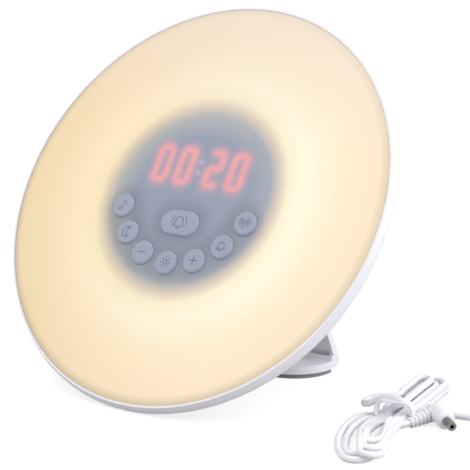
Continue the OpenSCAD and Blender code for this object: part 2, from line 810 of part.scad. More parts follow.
module power_inlet() color(chip_black) on_face() at([inlet_at]) difference() {
    union() {
        translate([-inlet_side / 2, -inlet_side / 2, -inner_back])
            cube([inlet_side, inlet_side, inner_back + main_z - board_t]);
        peg(nose_r, -inner_back + eps, -case_depth);
    }
    peg(inlet_bore_d / 2, -case_depth - over, -case_depth + inlet_bore_depth);
}

module inlet_pin() color(metal_grey) on_face() at([inlet_at])
    peg(inlet_pin_d / 2, -case_depth + inlet_bore_depth, -case_depth + inlet_pin_in);

module backup_cell() color("#c9ccd1") on_face() at([cell_at]) {
    peg(cell_d / 2, cell_top, cell_bottom - cell_step);
    peg(cell_d / 2 - cell_seal, cell_top + eps, cell_bottom);
}

module cell_contacts() color("#d8b25a") on_face() at([cell_at]) {
    translate([-contact_w / 2, -contact_l / 2, cell_bottom])
        cube([contact_w, contact_l, contact_t]);
    translate([cell_d / 2, -contact_w / 2, cell_top])
        cube([contact_t, contact_w, cell_t + contact_t]);
}

module cell_door() color(case_white) on_face() at([cell_at]) difference() {
    union() {
        peg(door_r, door_back, door_back + door_t);
        for (a = [0, 180])
            rotate(a) sector(door_r + lug_out, lug_angle, door_back + lug_lead,
                door_back + lug_lead + lug_t);
    }
    translate([-coin_slot.x / 2, -coin_slot.y / 2, door_back - over])
        cube([coin_slot.x, coin_slot.y, coin_slot.z + over]);
}

// ---- Speaker ----

module at_speaker() on_face() translate([speaker_c.x, speaker_c.y, front_z]) children();

module speaker_basket() color(metal_grey) at_speaker() rotate_extrude() polygon([
    [speaker_r - basket_rim_w - surround_h, 0], [speaker_r, 0], [speaker_r, basket_t],
    [speaker_r - basket_rim_w, basket_t],
    [magnet_r, basket_h], [basket_hole_r, basket_h], [basket_hole_r, basket_h - basket_wall],
    [magnet_r - basket_lap, basket_h - basket_wall],
    [speaker_r - basket_rim_w - surround_h, basket_t]]);

// A dished cone with a round surround at its edge and a dust cap over the voice coil
module speaker_cone() color(chip_black) at_speaker() rotate_extrude() {
    edge = speaker_r - basket_rim_w - surround_h;
    polygon([[0, cone_deep], [voice_coil_r, cone_deep], [edge - surround_w, 0],
        [edge, 0], [edge, cone_t], [edge - surround_w, cone_t + surround_h],
        [voice_coil_r, cone_deep + cone_t + surround_h], [0, cone_deep + cone_t]]);
}

module speaker_magnet() color("#4a4d52") at_speaker()
    translate([0, 0, basket_h]) cylinder(r = magnet_r, h = magnet_t);

// ---- Screws ----

module speaker_screws() color(metal_grey) on_face()
    for (p = speaker_screw_places) translate([p.x, p.y, front_z + basket_t])
        screw(small_screw_r, basket_t + speaker_screw_bite, speaker_head_r, small_head_h);

module case_screws() color(metal_grey) on_face()
    for (p = case_screw_places) translate([p.x, p.y, screw_seat]) rotate([180, 0, 0])
        screw(case_screw_r, case_screw_l, head_r, head_h);

module housing_screws() color(metal_grey) on_face()
    for (p = housing_screw_places) translate([p.x, p.y, control_z - board_t])
        rotate([180, 0, 0]) screw(small_screw_r, small_screw_l, small_head_r, small_head_h);

module board_screws() color(metal_grey) on_face()
    for (p = main_screw_places) translate([p.x, p.y, main_z])
        screw(small_screw_r, small_screw_l, small_head_r, small_head_h);

module ring_screws() color(metal_grey) on_face()
    for (p = ring_screw_places) translate([p.x, p.y, ring_z])
        screw(small_screw_r, small_screw_l, small_head_r, small_head_h);

module stand_screws() color(metal_grey) on_face()
    for (p = stand_screw_places) translate([p.x, p.y, -inner_back])
        screw(case_screw_r, stand_screw_l + case_wall, head_r, head_h);

// ---- Stand ----

// The foot's outline with its round front corners, run on past the heel
module foot_prism(in, h) {
    front = rim_y + foot_front;
    for (x = [-1, 1]) translate([x * (foot_half - foot_corner_r), front + foot_corner_r, 0])
        cylinder(r = foot_corner_r - in, h = h);
    translate([-foot_half + foot_corner_r, front + in, 0])
        cube([foot_w - 2 * foot_corner_r, stand_reach - foot_front, h]);
    translate([-foot_half + in, front + foot_corner_r, 0])
        cube([foot_w - 2 * in, stand_reach - foot_front, h]);
}

module pad_outline(in, h) intersection() {
    foot_prism(in, h);
    translate([-foot_w, 0, 0]) cube([2 * foot_w, heel_c.x - in, h]);
}

module on_panel() translate([0, prop_foot_y, 0]) rotate([90 + prop_lean, 0, 0]) children();

// Side view of the foot, the heel and the panel, run on past the case's back
module stand_side() {
    top_s = prop_top + 2 * panel_t;
    inner = panel_t + border_h;
    top_z = foot_z + foot_t;
    polygon([heel_c, heel_c - [0, heel_r], [rim_y, foot_z], [rim_y, top_z],
        prop_point((top_z + inner * sin(prop_lean)) / cos(prop_lean), inner),
        prop_point(top_s, inner), prop_point(top_s, 0), prop_point(heel_s, 0)]);
    translate(heel_c) circle(r = heel_r);
}

// Front view of the panel, narrower towards its top
module stand_front() {
    low_z = prop_straight * cos(prop_lean);
    high_z = prop_top * cos(prop_lean);
    narrower = (foot_half - mount_w / 2) / (high_z - low_z);
    polygon([for (x = [-1, 1]) each let (
        far = [x * (foot_half + over), low_z - over / narrower],
        near = [x * (mount_w / 2 - over * narrower), high_z + over])
        x < 0 ? [near, far, [far.x, -over]] : [[far.x, -over], far, near]]);
}

module stand_body() difference() {
    intersection() {
        translate([-foot_half - over, 0, 0]) rotate([90, 0, 90])
            linear_extrude(foot_w + 2 * over) stand_side();
        foot_prism(0, case_depth + rim_z);
        rotate([90, 0, 0]) translate([0, 0, -prop_foot_y - over])
            linear_extrude(prop_foot_y + 2 * over) stand_front();
    }
    on_panel() translate([0, 0, panel_t]) linear_extrude(border_h + over) polygon([
        for (x = [-1, 1]) each let (low = [x * (foot_half - border_w), recess_low],
            mid = [x * (foot_half - border_w), prop_straight],
            high = [x * (mount_w / 2 - border_w), prop_top])
            x < 0 ? [high, mid, low] : [low, mid, high]]);
}

module stand_ribs() for (x = [-1, 1])
    translate([x * (mount_w / 2 - border_w - rib_t / 2) - rib_t / 2, 0, 0])
        rotate([90, 0, 90]) linear_extrude(rib_t) polygon([
            prop_point(prop_top, panel_t / 2),
            side(mount_low + rib_in, case_depth + mount_t / 2),
            side(mount_low + rib_in, case_depth + mount_t), prop_point(rib_reach, panel_t),
            prop_point(rib_reach, panel_t / 2)]);

module stand() color(case_white) difference() {
    union() {
        stand_body();
        stand_ribs();
        on_face() translate([0, 0, -case_depth - mount_t]) linear_extrude(mount_t + over)
            mount_outline();
        on_face() at(stand_screw_places) peg(stand_boss_r, -case_depth - mount_t + eps,
            -case_depth - mount_t - stand_boss_h);
    }
    on_face() translate([-big / 2, -big / 2, -case_depth]) cube(big);
    on_face() at(stand_screw_places) peg(case_screw_r + screw_gap, -case_depth + over,
        -case_depth - stand_screw_l - screw_end_gap);
    translate([0, 0, foot_z - over]) pad_outline(pad_inset - seat_gap, over + pad_t - pad_proud);
}

module mount_outline() {
    w = mount_w / 2 - mount_round_r;
    for (x = [-w, w], v = [mount_low + mount_round_r, mount_high - mount_round_r])
        translate([x, v]) circle(r = mount_round_r);
    translate([-w, mount_low]) square([2 * w, mount_high - mount_low]);
    translate([-mount_w / 2, mount_low + mount_round_r])
        square([mount_w, mount_high - mount_low - 2 * mount_round_r]);
}

module foot_pad() color(rubber_grey) pad_outline(pad_inset, pad_t);

// ---- Wires inside ----

// Wires in the face's frame, each bent in a plane of constant X, beside its twin
module wire_pair(route) for (k = [0, 1])
    tube([for (p = route) p + [k * wire_pitch, 0, 0]], wire_r, [1, 0, 0]);

module inner_wires() color("#c23b34") on_face() {
    wire_pair(speaker_route);
    wire_pair(ring_route);
}

module board_ribbon() color("#d9d9d6") on_face() translate([ribbon_x, 0, 0])
    rotate([90, 0, 90]) linear_extrude(ribbon_w) polygon([
        [ribbon_high, control_z - board_t], [ribbon_high, control_z - board_t - ribbon_bend],
        [ribbon_low, main_z + ribbon_bend], [ribbon_low, main_z],
        [ribbon_low - ribbon_t, main_z], [ribbon_low - ribbon_t, main_z + ribbon_bend],
        [ribbon_high - ribbon_t, control_z - board_t - ribbon_bend],
        [ribbon_high - ribbon_t, control_z - board_t]]);

// ---- Power lead ----

module link(a, b, ra, rb) {
    d = (b - a) / norm(b - a);
    n = [-d.y, d.x];
    translate(a) cylinder(r = ra, h = hank_h);
    translate(b) cylinder(r = rb, h = hank_h);
    linear_extrude(hank_h) polygon([a + ra * n, b + rb * n, b - rb * n, a - ra * n]);
}

module lead_hank() color(case_white) union() {
    link(lobe_near, lobe_far, lobe_near_r, lobe_far_r);
    link(bundle_near, bundle_far, bundle_r, bundle_r);
}

// A round tube along points, with one ring of sides at each, square to its side direction
function tangent(p, i) = let (a = p[max(i - 1, 0)], b = p[min(i + 1, len(p) - 1)])
    (b - a) / norm(b - a);
function ring(p, i, r, side) = let (t = tangent(p, i), across = cross(side, t),
    u = across / norm(across), w = cross(t, u))
    [for (k = [0:tube_sides - 1]) let (a = k * 360 / tube_sides)
        p[i] + r * (cos(a) * u + sin(a) * w)];

module tube(points, r, side) {
    n = len(points);
    m = tube_sides;
    polyhedron([for (i = [0:n - 1]) each ring(points, i, r, side)], concat(
        [[for (k = [0:m - 1]) k]],
        [for (i = [0:n - 2], k = [0:m - 1])
            [i * m + k, (i + 1) * m + k, (i + 1) * m + (k + 1) % m, i * m + (k + 1) % m]],
        [[for (k = [m - 1:-1:0]) (n - 1) * m + k]]));
}

module lead_tails() color(case_white) {
    tube(tail_plug, lead_r, [0, 0, 1]);
    tube(tail_usb, lead_r, [0, 0, 1]);
}

module lead_tie() color(case_white) {
    way = bundle_far - bundle_near;
    translate([bundle_near.x, bundle_near.y, 0]) rotate(atan2(way.y, way.x) - 90)
        difference() {
            translate([-bundle_r - tie_t, -tie_w / 2, 0])
                cube([2 * (bundle_r + tie_t), tie_w, hank_h + tie_t]);
            translate([-bundle_r, -tie_w, -over]) cube([2 * bundle_r, 2 * tie_w, hank_h + over]);
        }
}

module strain_relief() color(case_white) aim(plug_start, plug_bend) {
    l = norm(plug_bend - plug_start) - plug_d / 2;
    rib = l / relief_ribs;
    cylinder(r1 = lead_r + relief_wall, r2 = relief_r, h = l);
    for (k = [0:relief_ribs - 1]) translate([0, 0, (k + 0.4) * rib])
        cylinder(r = relief_r + k * relief_step, h = rib * 0.6);
}

module plug_body() color(case_white) {
    translate(plug_bend) sphere(d = plug_d);
    aim(plug_bend, plug_end) cylinder(d = plug_d, h = norm(plug_end - plug_bend));
}

module plug_tip() color(metal_grey) aim(plug_end, tip_end) difference() {
    cylinder(d = tip_d, h = tip_l);
    translate([0, 0, tip_floor]) cylinder(d = inlet_pin_d + 2 * seat_gap, h = tip_l);
}

module at_usb() translate(usb_mid) rotate([0, 0, usb_turn]) children();

module usb_body() color(case_white) {
    aim(usb_start, usb_mid) cylinder(r1 = lead_r + relief_wall, r2 = usb_relief_r,
        h = norm(usb_mid - usb_start) + over);
    at_usb() translate([0, -usb_body_size.y / 2, -usb_body_size.z / 2]) cube(usb_body_size);
}

// The metal shell, with its tongue along the upper half
module usb_shell() color(metal_grey) at_usb()
    translate([usb_body_size.x, -usb_shell_size.y / 2, -usb_shell_size.z / 2])
        difference() {
            cube(usb_shell_size);
            translate([usb_floor, usb_shell_wall, usb_shell_wall])
                cube(usb_shell_size - [0, 2 * usb_shell_wall,
                    2 * usb_shell_wall + usb_tongue_t]);
        }

back_shell();
light_cover();
reflector();
display_housing();
display_module();
display_bars();
control_board();
switch_housings();
control_chips();
light_ring_board();
warm_lights();
colour_lights();
main_board();
main_chips();
capacitors();
radio_shield();
power_inlet();
inlet_pin();
backup_cell();
cell_contacts();
cell_door();
speaker_basket();
speaker_cone();
speaker_magnet();
speaker_screws();
case_screws();
housing_screws();
board_screws();
ring_screws();
stand_screws();
stand();
foot_pad();
inner_wires();
board_ribbon();
key_sound();
key_sleep();
key_minus();
key_light();
key_plus();
key_alarm();
key_radio();
key_snooze();
plunger_sound();
plunger_sleep();
plunger_minus();
plunger_light();
plunger_plus();
plunger_alarm();
plunger_radio();
plunger_snooze();
lead_hank();
lead_tails();
lead_tie();
strain_relief();
plug_body();
plug_tip();
usb_body();
usb_shell();
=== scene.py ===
import math

import bmesh
import bpy
from mathutils import Matrix, Vector


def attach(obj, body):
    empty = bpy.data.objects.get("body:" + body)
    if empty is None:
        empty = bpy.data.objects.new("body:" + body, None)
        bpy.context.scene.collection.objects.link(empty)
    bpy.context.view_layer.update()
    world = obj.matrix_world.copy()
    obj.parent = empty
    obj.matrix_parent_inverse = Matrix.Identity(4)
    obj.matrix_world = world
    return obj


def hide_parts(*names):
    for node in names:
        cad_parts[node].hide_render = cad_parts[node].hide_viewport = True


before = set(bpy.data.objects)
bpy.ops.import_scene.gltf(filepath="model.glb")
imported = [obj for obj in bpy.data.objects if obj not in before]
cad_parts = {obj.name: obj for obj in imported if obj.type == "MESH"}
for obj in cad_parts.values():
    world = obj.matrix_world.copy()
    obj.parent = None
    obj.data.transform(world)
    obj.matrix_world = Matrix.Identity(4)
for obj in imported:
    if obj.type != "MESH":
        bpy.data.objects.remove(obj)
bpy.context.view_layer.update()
scene = bpy.context.scene
scene.view_settings.view_transform = "Standard"
MM = 0.001

# ---- Camera ----
# A long lens looks at the clock from the front right, a little over the table.
LENS = 148.06
SENSOR = 36
AZIMUTH = math.radians(35.35)
ELEVATION = math.radians(12.74)
EYE = Vector((440.3, -594.9, 227.2)) * MM

across = Vector((math.cos(AZIMUTH), math.sin(AZIMUTH), 0))
back = Vector((math.sin(AZIMUTH) * math.cos(ELEVATION), -math.cos(AZIMUTH) * math.cos(ELEVATION),
               math.sin(ELEVATION)))
camera_data = bpy.data.cameras.new("camera")
camera_data.lens = LENS
camera_data.sensor_width = SENSOR
camera = bpy.data.objects.new("camera", camera_data)
scene.collection.objects.link(camera)
camera.matrix_world = Matrix.Translation(EYE) @ Matrix((across, back.cross(across), back)
                                                       ).transposed().to_4x4()
scene.camera = camera

# ---- Power lead ----
# A round two-core lead with a soft white PVC jacket, wound into a flat hank of five turns.
# The last turn folds back over the waist and holds it, then runs on to the USB plug.
LEAD_D = 2.6
WAIST = Vector((91.3, 0))
ALONG = Vector((-0.178, 0.984))
TAIL_PLUG = [(98.4, -1.4, 1.8), (97.3, -3.4, 1.7), (96, -5.2, 1.6)]
TAIL_USB = [(98.3, 7.2, 1.4), (99.6, 10.8, 1.4), (102.2, 14.2, 1.4), (105.6, 16.9, 1.4),
            (110, 18.2, 1.4), (113.6, 18.8, 1.4), (116.7, 20.6, 1.4), (119, 23.4, 1.5),
            (120.2, 26.8, 1.7), (120.3, 30.4, 2.2), (119.6, 33.6, 2.8)]
# Each loop goes down its right side, round its end and up its left side, as (x, y, height)
LOOPS = [
    [(94.4, -8, 3.9), (97.4, -16, 3.9), (100.8, -24, 3.6), (102, -29, 3.6), (101.2, -31.8, 3.8),
     (98.8, -32.2, 3.9), (96.4, -29.2, 3.9), (93.8, -24.5, 3.9), (91.6, -19.5, 2.6),
     (89.4, -13.5, 1.3), (88.6, -7, 1.3), (89.6, -1, 1.5)],
    [(95.9, -8.5, 3.9), (100, -18.5, 3.9), (103.8, -28.5, 3.6), (105.6, -35, 3.6),
     (104.8, -38.4, 3.8), (102, -38.7, 3.9), (98.9, -34.6, 3.9), (95.8, -29, 3.9), (92, -22, 2.6),
     (88.4, -14.2, 1.3), (86.8, -6.5, 1.3), (88.2, 0, 1.5)],
    [(97.2, -9.5, 2), (101.2, -20.5, 1.3), (106, -32, 1.6), (108.8, -41, 2.8), (108, -44.8, 3.6),
     (104.8, -45.2, 3.9), (101.2, -40.8, 3.9), (96.4, -33, 3.9), (91, -24, 2.8), (86.6, -15, 1.3),
     (85, -6, 1.3), (87, 0.5, 1.5)],
    [(92.8, -8.5, 1.3), (96.4, -20, 1.3), (100.6, -32.5, 1.3), (102, -39.5, 1.3), (99, -42.3, 1.3),
     (94.6, -39.3, 1.3), (90, -32, 1.3), (85.8, -23.5, 1.3), (82.6, -14, 1.3), (82, -5.5, 1.3),
     (85.5, 1, 1.5)],
    [(95.2, -9.5, 1.3), (99.2, -22, 1.3), (104, -35.5, 1.3), (105.2, -43.5, 1.3),
     (101.2, -47.2, 1.3), (94.2, -42.8, 1.3), (88, -34.5, 1.3), (83, -24.5, 1.3),
     (79.6, -14, 1.3), (79, -4.5, 1.3), (83, 1.5, 1.5)]]
# Each fold at the far end: (offset, height) of the strand up and of the strand down, and its reach
FOLDS = [((-2.6, 1.3), (2.6, 1.3), 43.5), ((-5.2, 1.3), (5.2, 1.3), 49), ((-2.6, 3.9), (2.6, 3.9), 41),
         ((-5.2, 3.9), (5.2, 3.9), 46.5), ((0.8, 6.4), (-4.4, 6.4), 39.5)]
WRAP = [(78, 8, 5.6), (76.2, 3.6, 4.8), (78.6, 0.2, 5.2), (84, 0.6, 7.6), (89.6, 0.9, 9.2),
        (94.6, 0.2, 8.6), (97.6, 0.6, 5.4), (98.2, 3.4, 2.4)]
# A strand's first knot from the waist, the way to the next, and the gap kept before its bend
STRAND_FROM = 5
STRAND_STEP = 8
STRAND_CLEAR = 3
BEND_STEPS = 6


def in_hank(reach, offset, height):
    """A point of the hank, this far from its waist and this far right of its middle line."""
    return (WAIST.x + reach * ALONG.x + offset * ALONG.y,
            WAIST.y + reach * ALONG.y - offset * ALONG.x, height)


def far_fold(up, down, end):
    """One strand up to the far end of the hank, round a half circle and down again."""
    radius = abs(up[0] - down[0]) / 2
    middle = (up[0] + down[0]) / 2
    turn = math.copysign(1, down[0] - up[0])
    reaches = []
    reach = STRAND_FROM
    while reach < end - radius - STRAND_CLEAR:
        reaches.append(reach)
        reach += STRAND_STEP
    bend = []
    for step in range(BEND_STEPS + 1):
        angle = math.radians(180 * step / BEND_STEPS - 90)
        bend.append(in_hank(end - radius + radius * math.cos(angle),
                            middle + turn * radius * math.sin(angle),
                            up[1] + (down[1] - up[1]) * step / BEND_STEPS))
    return ([in_hank(reach, *up) for reach in reaches] + bend
            + [in_hank(reach, *down) for reach in reversed(reaches)])


def smooth_curve(name, points, radius):
    """A round tube of one open spline through points in millimetres."""
    data = bpy.data.curves.new(name, "CURVE")
    data.dimensions = "3D"
    data.bevel_depth = radius * MM
    data.bevel_resolution = 5
    data.resolution_u = 6
    data.use_fill_caps = True
    spline = data.splines.new("BEZIER")
    spline.bezier_points.add(len(points) - 1)
    for knot, place in zip(spline.bezier_points, points):
        knot.co = Vector(place) * MM
        knot.handle_left_type = knot.handle_right_type = "AUTO"
    curve = bpy.data.objects.new(name, data)
    scene.collection.objects.link(curve)
    return curve


route = list(TAIL_PLUG)
for loop, turn_fold in zip(LOOPS, FOLDS):
    route += loop + far_fold(*turn_fold)
route = route[:-1] + WRAP + TAIL_USB
lead = smooth_curve("lead", route, LEAD_D / 2)


def linear(code):
    """A linear colour from an sRGB hex value."""
    channels = [int(code[k:k + 2], 16) / 255 for k in (1, 3, 5)]
    return [c / 12.92 if c <= 0.04045 else ((c + 0.055) / 1.055) ** 2.4 for c in channels] + [1]


def add_node(tree, kind, settings=(), links=()):
    """Adds a node, gives it its settings and joins its inputs to other nodes' outputs."""
    node = tree.nodes.new(kind)
    for name, value in dict(settings).items():
        if isinstance(name, int) or name in node.inputs:
            node.inputs[name].default_value = value
        else:
            setattr(node, name, value)
    for name, output in dict(links).items():
        tree.links.new(output, node.inputs[name])
    return node


def new_material(name):
    """An empty material with its output, and the place of each point in millimetres."""
    made = bpy.data.materials.new(name)
    made.use_nodes = True
    tree = made.node_tree
    tree.nodes.clear()
    output = add_node(tree, "ShaderNodeOutputMaterial")
    place = add_node(tree, "ShaderNodeTexCoord").outputs["Object"]
    millimetres = add_node(tree, "ShaderNodeVectorMath", {"operation": "SCALE", "Scale": 1 / MM},
                           {0: place}).outputs[0]
    return made, tree, output, millimetres


# How deep the grain is for its width, and how far the roughness swings with it
GRAIN_DEPTH = 0.3
ROUGH_SWING = 0.15


def moulded(name, light, dark, roughness, ior, grain, bump, patch=30, metallic=0, **more):
    """A material with a fine grain in its surface and a slow change between two colours.

    The grain's width and the patches' size are in millimetres. Where the real grain is too fine to
    show on the whole clock, it is drawn coarser than it is.
    """
    made, tree, output, place = new_material(name)
    cloud = add_node(tree, "ShaderNodeTexNoise", {"Scale": 1 / patch, "Detail": 2}, {"Vector": place})
    colour = add_node(tree, "ShaderNodeMix", {"data_type": "RGBA", 6: linear(dark), 7: linear(light)},
                      {0: cloud.outputs[0]})
    fine = add_node(tree, "ShaderNodeTexNoise", {"Scale": 1 / grain, "Detail": 3}, {"Vector": place})
    relief = add_node(tree, "ShaderNodeBump", {"Strength": bump, "Distance": grain * MM * GRAIN_DEPTH},
                      {"Height": fine.outputs[0]})
    rough = add_node(tree, "ShaderNodeMapRange",
                     {"To Min": roughness * (1 - ROUGH_SWING), "To Max": roughness * (1 + ROUGH_SWING)},
                     {"Value": fine.outputs[0]})
    settings = {"IOR": ior, "Metallic": metallic, **more}
    surface = add_node(tree, "ShaderNodeBsdfPrincipled", settings,
                       {"Base Color": colour.outputs[2], "Roughness": rough.outputs[0],
                        "Normal": relief.outputs[0]})
    tree.links.new(surface.outputs[0], output.inputs[0])
    return made


def dress(finish, *names):
    """Gives CAD nodes their finish."""
    for name in names:
        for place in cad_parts[name].material_slots:
            place.material = finish


# Plasticised PVC, extruded: a soft white jacket with a dull sheen, not quite even in its white
pvc = moulded("soft_white_pvc", "#f4f3f6", "#e9e8ee", 0.42, 1.53, 0.5, 0.12, patch=14)
lead.data.materials.append(pvc)
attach(lead, "clock")
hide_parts("lead_hank", "lead_tails")

# ---- Tie ----
# A flat white tie of soft PVC, extruded as a strip and cut to length. It is wrapped once round the
# waist of the hank and pulled tight over the strands, so that its corners are round.
TIE_WIDTH = 4
TIE_THICK = 0.8
TIE_HALF = 6.8
TIE_FOOT = 0.3
TIE_TOP = 8.2
TIE_CORNER = 2.6
# How much of its thickness the round of its edges takes
TIE_EDGE = 0.3
CORNER_STEPS = 6


def new_piece(name, mesh, finish):
    """Puts a bmesh into the scene as a piece with its finish, riding on the clock's own body."""
    data = bpy.data.meshes.new(name)
    bmesh.ops.recalc_face_normals(mesh, faces=mesh.faces)
    mesh.to_mesh(data)
    mesh.free()
    data.shade_smooth()
    data.materials.append(finish)
    piece = bpy.data.objects.new(name, data)
    scene.collection.objects.link(piece)
    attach(piece, "clock")
    return piece


def skin(mesh, rings, closed=False):
    """Joins rings of points with faces, in order, and closes the two ends or joins them."""
    loops = [[mesh.verts.new(point) for point in ring] for ring in rings]
    count = len(loops[0])
    pairs = list(zip(loops, loops[1:] + loops[:1])) if closed else list(zip(loops, loops[1:]))
    for near, far in pairs:
        for k in range(count):
            mesh.faces.new((near[k], near[(k + 1) % count], far[(k + 1) % count], far[k]))
    if not closed:
        mesh.faces.new(loops[0])
        mesh.faces.new(loops[-1])


def round_corners(half_w, low, high, radius):
    """Points of a rectangle with round corners, as (across, up)."""
    points = []
    for x, y, first in ((half_w - radius, high - radius, 0), (radius - half_w, high - radius, 90),
                        (radius - half_w, low + radius, 180), (half_w - radius, low + radius, 270)):
        for step in range(CORNER_STEPS + 1):
            angle = math.radians(first + 90 * step / CORNER_STEPS)
            points.append((x + radius * math.cos(angle), y + radius * math.sin(angle)))
    return points


def tie_ring(reach, grow):
    """The tie's outline at one place along the hank, grown outwards."""
    ring = []
    for offset, height in round_corners(TIE_HALF + grow, TIE_FOOT, TIE_TOP + grow, TIE_CORNER + grow):
        ring.append(Vector(in_hank(reach, offset, height)) * MM)
    return ring


edge_round = TIE_THICK * TIE_EDGE
tie_mesh = bmesh.new()
skin(tie_mesh, [tie_ring(reach, grow) for reach, grow in (
    (-TIE_WIDTH / 2, edge_round), (-TIE_WIDTH / 2 + edge_round, 0), (TIE_WIDTH / 2 - edge_round, 0),
    (TIE_WIDTH / 2, edge_round), (TIE_WIDTH / 2, TIE_THICK - edge_round),
    (TIE_WIDTH / 2 - edge_round, TIE_THICK), (edge_round - TIE_WIDTH / 2, TIE_THICK),
    (-TIE_WIDTH / 2, TIE_THICK - edge_round))], closed=True)
tie = new_piece("tie", tie_mesh, pvc)
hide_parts("lead_tie")

# ---- Power plug ----
# A right-angled barrel plug, moulded in one with its ribbed strain relief in soft white PVC.
# The ribs are rings with gaps between them, thicker towards the plug, so that they bend in turn.
PLUG_START = Vector((98.4, -1.4, 1.8))
PLUG_BEND = Vector((103.9, 9.6, 4.5))
PLUG_END = Vector((111.8, 2.6, 4))
PLUG_R = 3.6
RELIEF_RIBS = 6
RELIEF_CORE = (1.7, 2.3)
RELIEF_RIB = (2.15, 3.05)
RELIEF_LENGTH = 10.2
RIB_ROUND = 0.25
NECK_R = 3.25
# How fast the neck grows to the plug's full width along its bend
NECK_GROWS = 1.6
BEND_LENGTH = 4.4
HEAD_STEPS = 12
ROUND_SIDES = 40


def round_rings(path, radii):
    """Rings of points square to a path, one at each point, for a turned or bent piece."""
    rings = []
    side = Vector((0, 0, 1))
    for k, (place, radius) in enumerate(zip(path, radii)):
        ahead = path[min(k + 1, len(path) - 1)] - path[max(k - 1, 0)]
        ahead.normalize()
        u = side.cross(ahead).normalized()
        w = ahead.cross(u)
        rings.append([(place + radius * (math.cos(a) * u + math.sin(a) * w)) * MM
                      for a in (math.tau * j / ROUND_SIDES for j in range(ROUND_SIDES))])
    return rings


relief_way = (PLUG_BEND - PLUG_START).normalized()
relief_path = []
relief_radii = []
rib_pitch = RELIEF_LENGTH / RELIEF_RIBS
for rib in range(RELIEF_RIBS):
    grown = rib / (RELIEF_RIBS - 1)
    core = RELIEF_CORE[0] + (RELIEF_CORE[1] - RELIEF_CORE[0]) * grown
    full = RELIEF_RIB[0] + (RELIEF_RIB[1] - RELIEF_RIB[0]) * grown
    for share, radius in ((0, full - RIB_ROUND), (0.1, full), (0.52, full), (0.62, full - RIB_ROUND),
                          (0.63, core), (0.98, core)):
        relief_path.append(PLUG_START + relief_way * (rib + share) * rib_pitch)
        relief_radii.append(radius)
relief_mesh = bmesh.new()
skin(relief_mesh, round_rings(relief_path, relief_radii))
relief = new_piece("plug_strain_relief", relief_mesh, pvc)
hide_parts("strain_relief")

# The head starts inside the end of the strain relief, turns in one bend and ends in a round edge
head_way = (PLUG_END - PLUG_BEND).normalized()
head_from = PLUG_START + relief_way * (RELIEF_LENGTH - 0.4)
bend_from = PLUG_BEND - relief_way * BEND_LENGTH * 0.7
bend_to = PLUG_BEND + head_way * BEND_LENGTH
head_path = [head_from, head_from + relief_way * 0.3]
head_radii = [2.8, 3.15]
for step in range(HEAD_STEPS + 1):
    t = step / HEAD_STEPS
    head_path.append(bend_from * (1 - t) ** 2 + PLUG_BEND * 2 * t * (1 - t) + bend_to * t ** 2)
    head_radii.append(NECK_R + (PLUG_R - NECK_R) * min(1, t * NECK_GROWS))
head_path += [PLUG_END - head_way * 2.2, PLUG_END - head_way * 0.5, PLUG_END - head_way * 0.15, PLUG_END,
              PLUG_END]
head_radii += [PLUG_R - 0.1, PLUG_R - 0.2, PLUG_R - 0.4, PLUG_R - 0.7, 2.2]
head_mesh = bmesh.new()
skin(head_mesh, round_rings(head_path, head_radii))
head = new_piece("plug_head", head_mesh, pvc)
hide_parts("plug_body")

# Nickel-plated brass, turned: a grey barrel with a soft, slightly worn shine
nickel = moulded("nickel_plated_brass", "#8d8c86", "#74736e", 0.34, 1.5, 0.2, 0.08, patch=3, metallic=1)
dress(nickel, "plug_tip", "usb_shell", "inlet_pin")

# ---- USB plug ----
# A flat grip of soft white PVC, moulded over the folded and plated shell of the plug. Shallow
# grooves across it give hold, and a short ribbed sleeve, moulded with it, takes the lead.
USB_START = Vector((119.6, 33.6, 2.8))
USB_MID = Vector((117, 42.2, 3.4))
USB_WIDE = 13.4
USB_THICK = 6.8
USB_ROUND = 2.2
USB_SHARPEST = 0.4
SLEEVE_RIBS = 5
SLEEVE_R = 1.6
SLEEVE_GROWS = 0.22
SLEEVE_RIB = 0.22
usb_way = Vector((USB_MID.x - USB_START.x, USB_MID.y - USB_START.y, 0)).normalized()
usb_side = Vector((-usb_way.y, usb_way.x, 0))


def usb_ring(reach, narrower):
    """The grip's outline at one place along it, made narrower all round."""
    outline = round_corners(USB_WIDE / 2 - narrower, narrower - USB_THICK / 2,
                            USB_THICK / 2 - narrower, max(USB_ROUND - narrower, USB_SHARPEST))
    return [(USB_MID + usb_way * reach + usb_side * a + Vector((0, 0, b))) * MM for a, b in outline]


# The grip's outline from its sleeve to its shell: places along it, and how much narrower it is
usb_mesh = bmesh.new()
skin(usb_mesh, [usb_ring(reach, narrower) for reach, narrower in (
    (0, 2.4), (0.15, 1.9), (0.9, 1.2), (2.4, 0.5), (4.5, 0.1), (6, 0), (7.2, 0.35), (8, 0.35), (9.2, 0),
    (10.4, 0.35), (11.2, 0.35), (12.4, 0), (18.2, 0), (18.8, 0.3), (19, 0.8), (19, 1.4))])
usb_grip = new_piece("usb_grip", usb_mesh, pvc)
sleeve_way = USB_MID - USB_START
sleeve_mesh = bmesh.new()
sleeve_path = []
sleeve_radii = []
for rib in range(SLEEVE_RIBS):
    for share, extra in ((0, 0), (0.15, SLEEVE_RIB), (0.55, SLEEVE_RIB), (0.7, 0), (0.95, 0)):
        sleeve_path.append(USB_START + sleeve_way * (rib + share) / SLEEVE_RIBS)
        sleeve_radii.append(SLEEVE_R + SLEEVE_GROWS * rib + extra)
skin(sleeve_mesh, round_rings(sleeve_path, sleeve_radii))
usb_sleeve = new_piece("usb_sleeve", sleeve_mesh, pvc)
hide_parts("usb_body")

# ---- Case ----
# The back shell: white ABS, injection moulded, with a satin grain outside. Its rolled rim and
# round lip hold the cover, and the flat back has the sound holes, the inlet and the cell door.
abs_white = moulded("satin_white_abs", "#f0f0f4", "#e9e9f0", 0.36, 1.54, 0.7, 0.06, patch=60)
dress(abs_white, "back_shell", "cell_door")

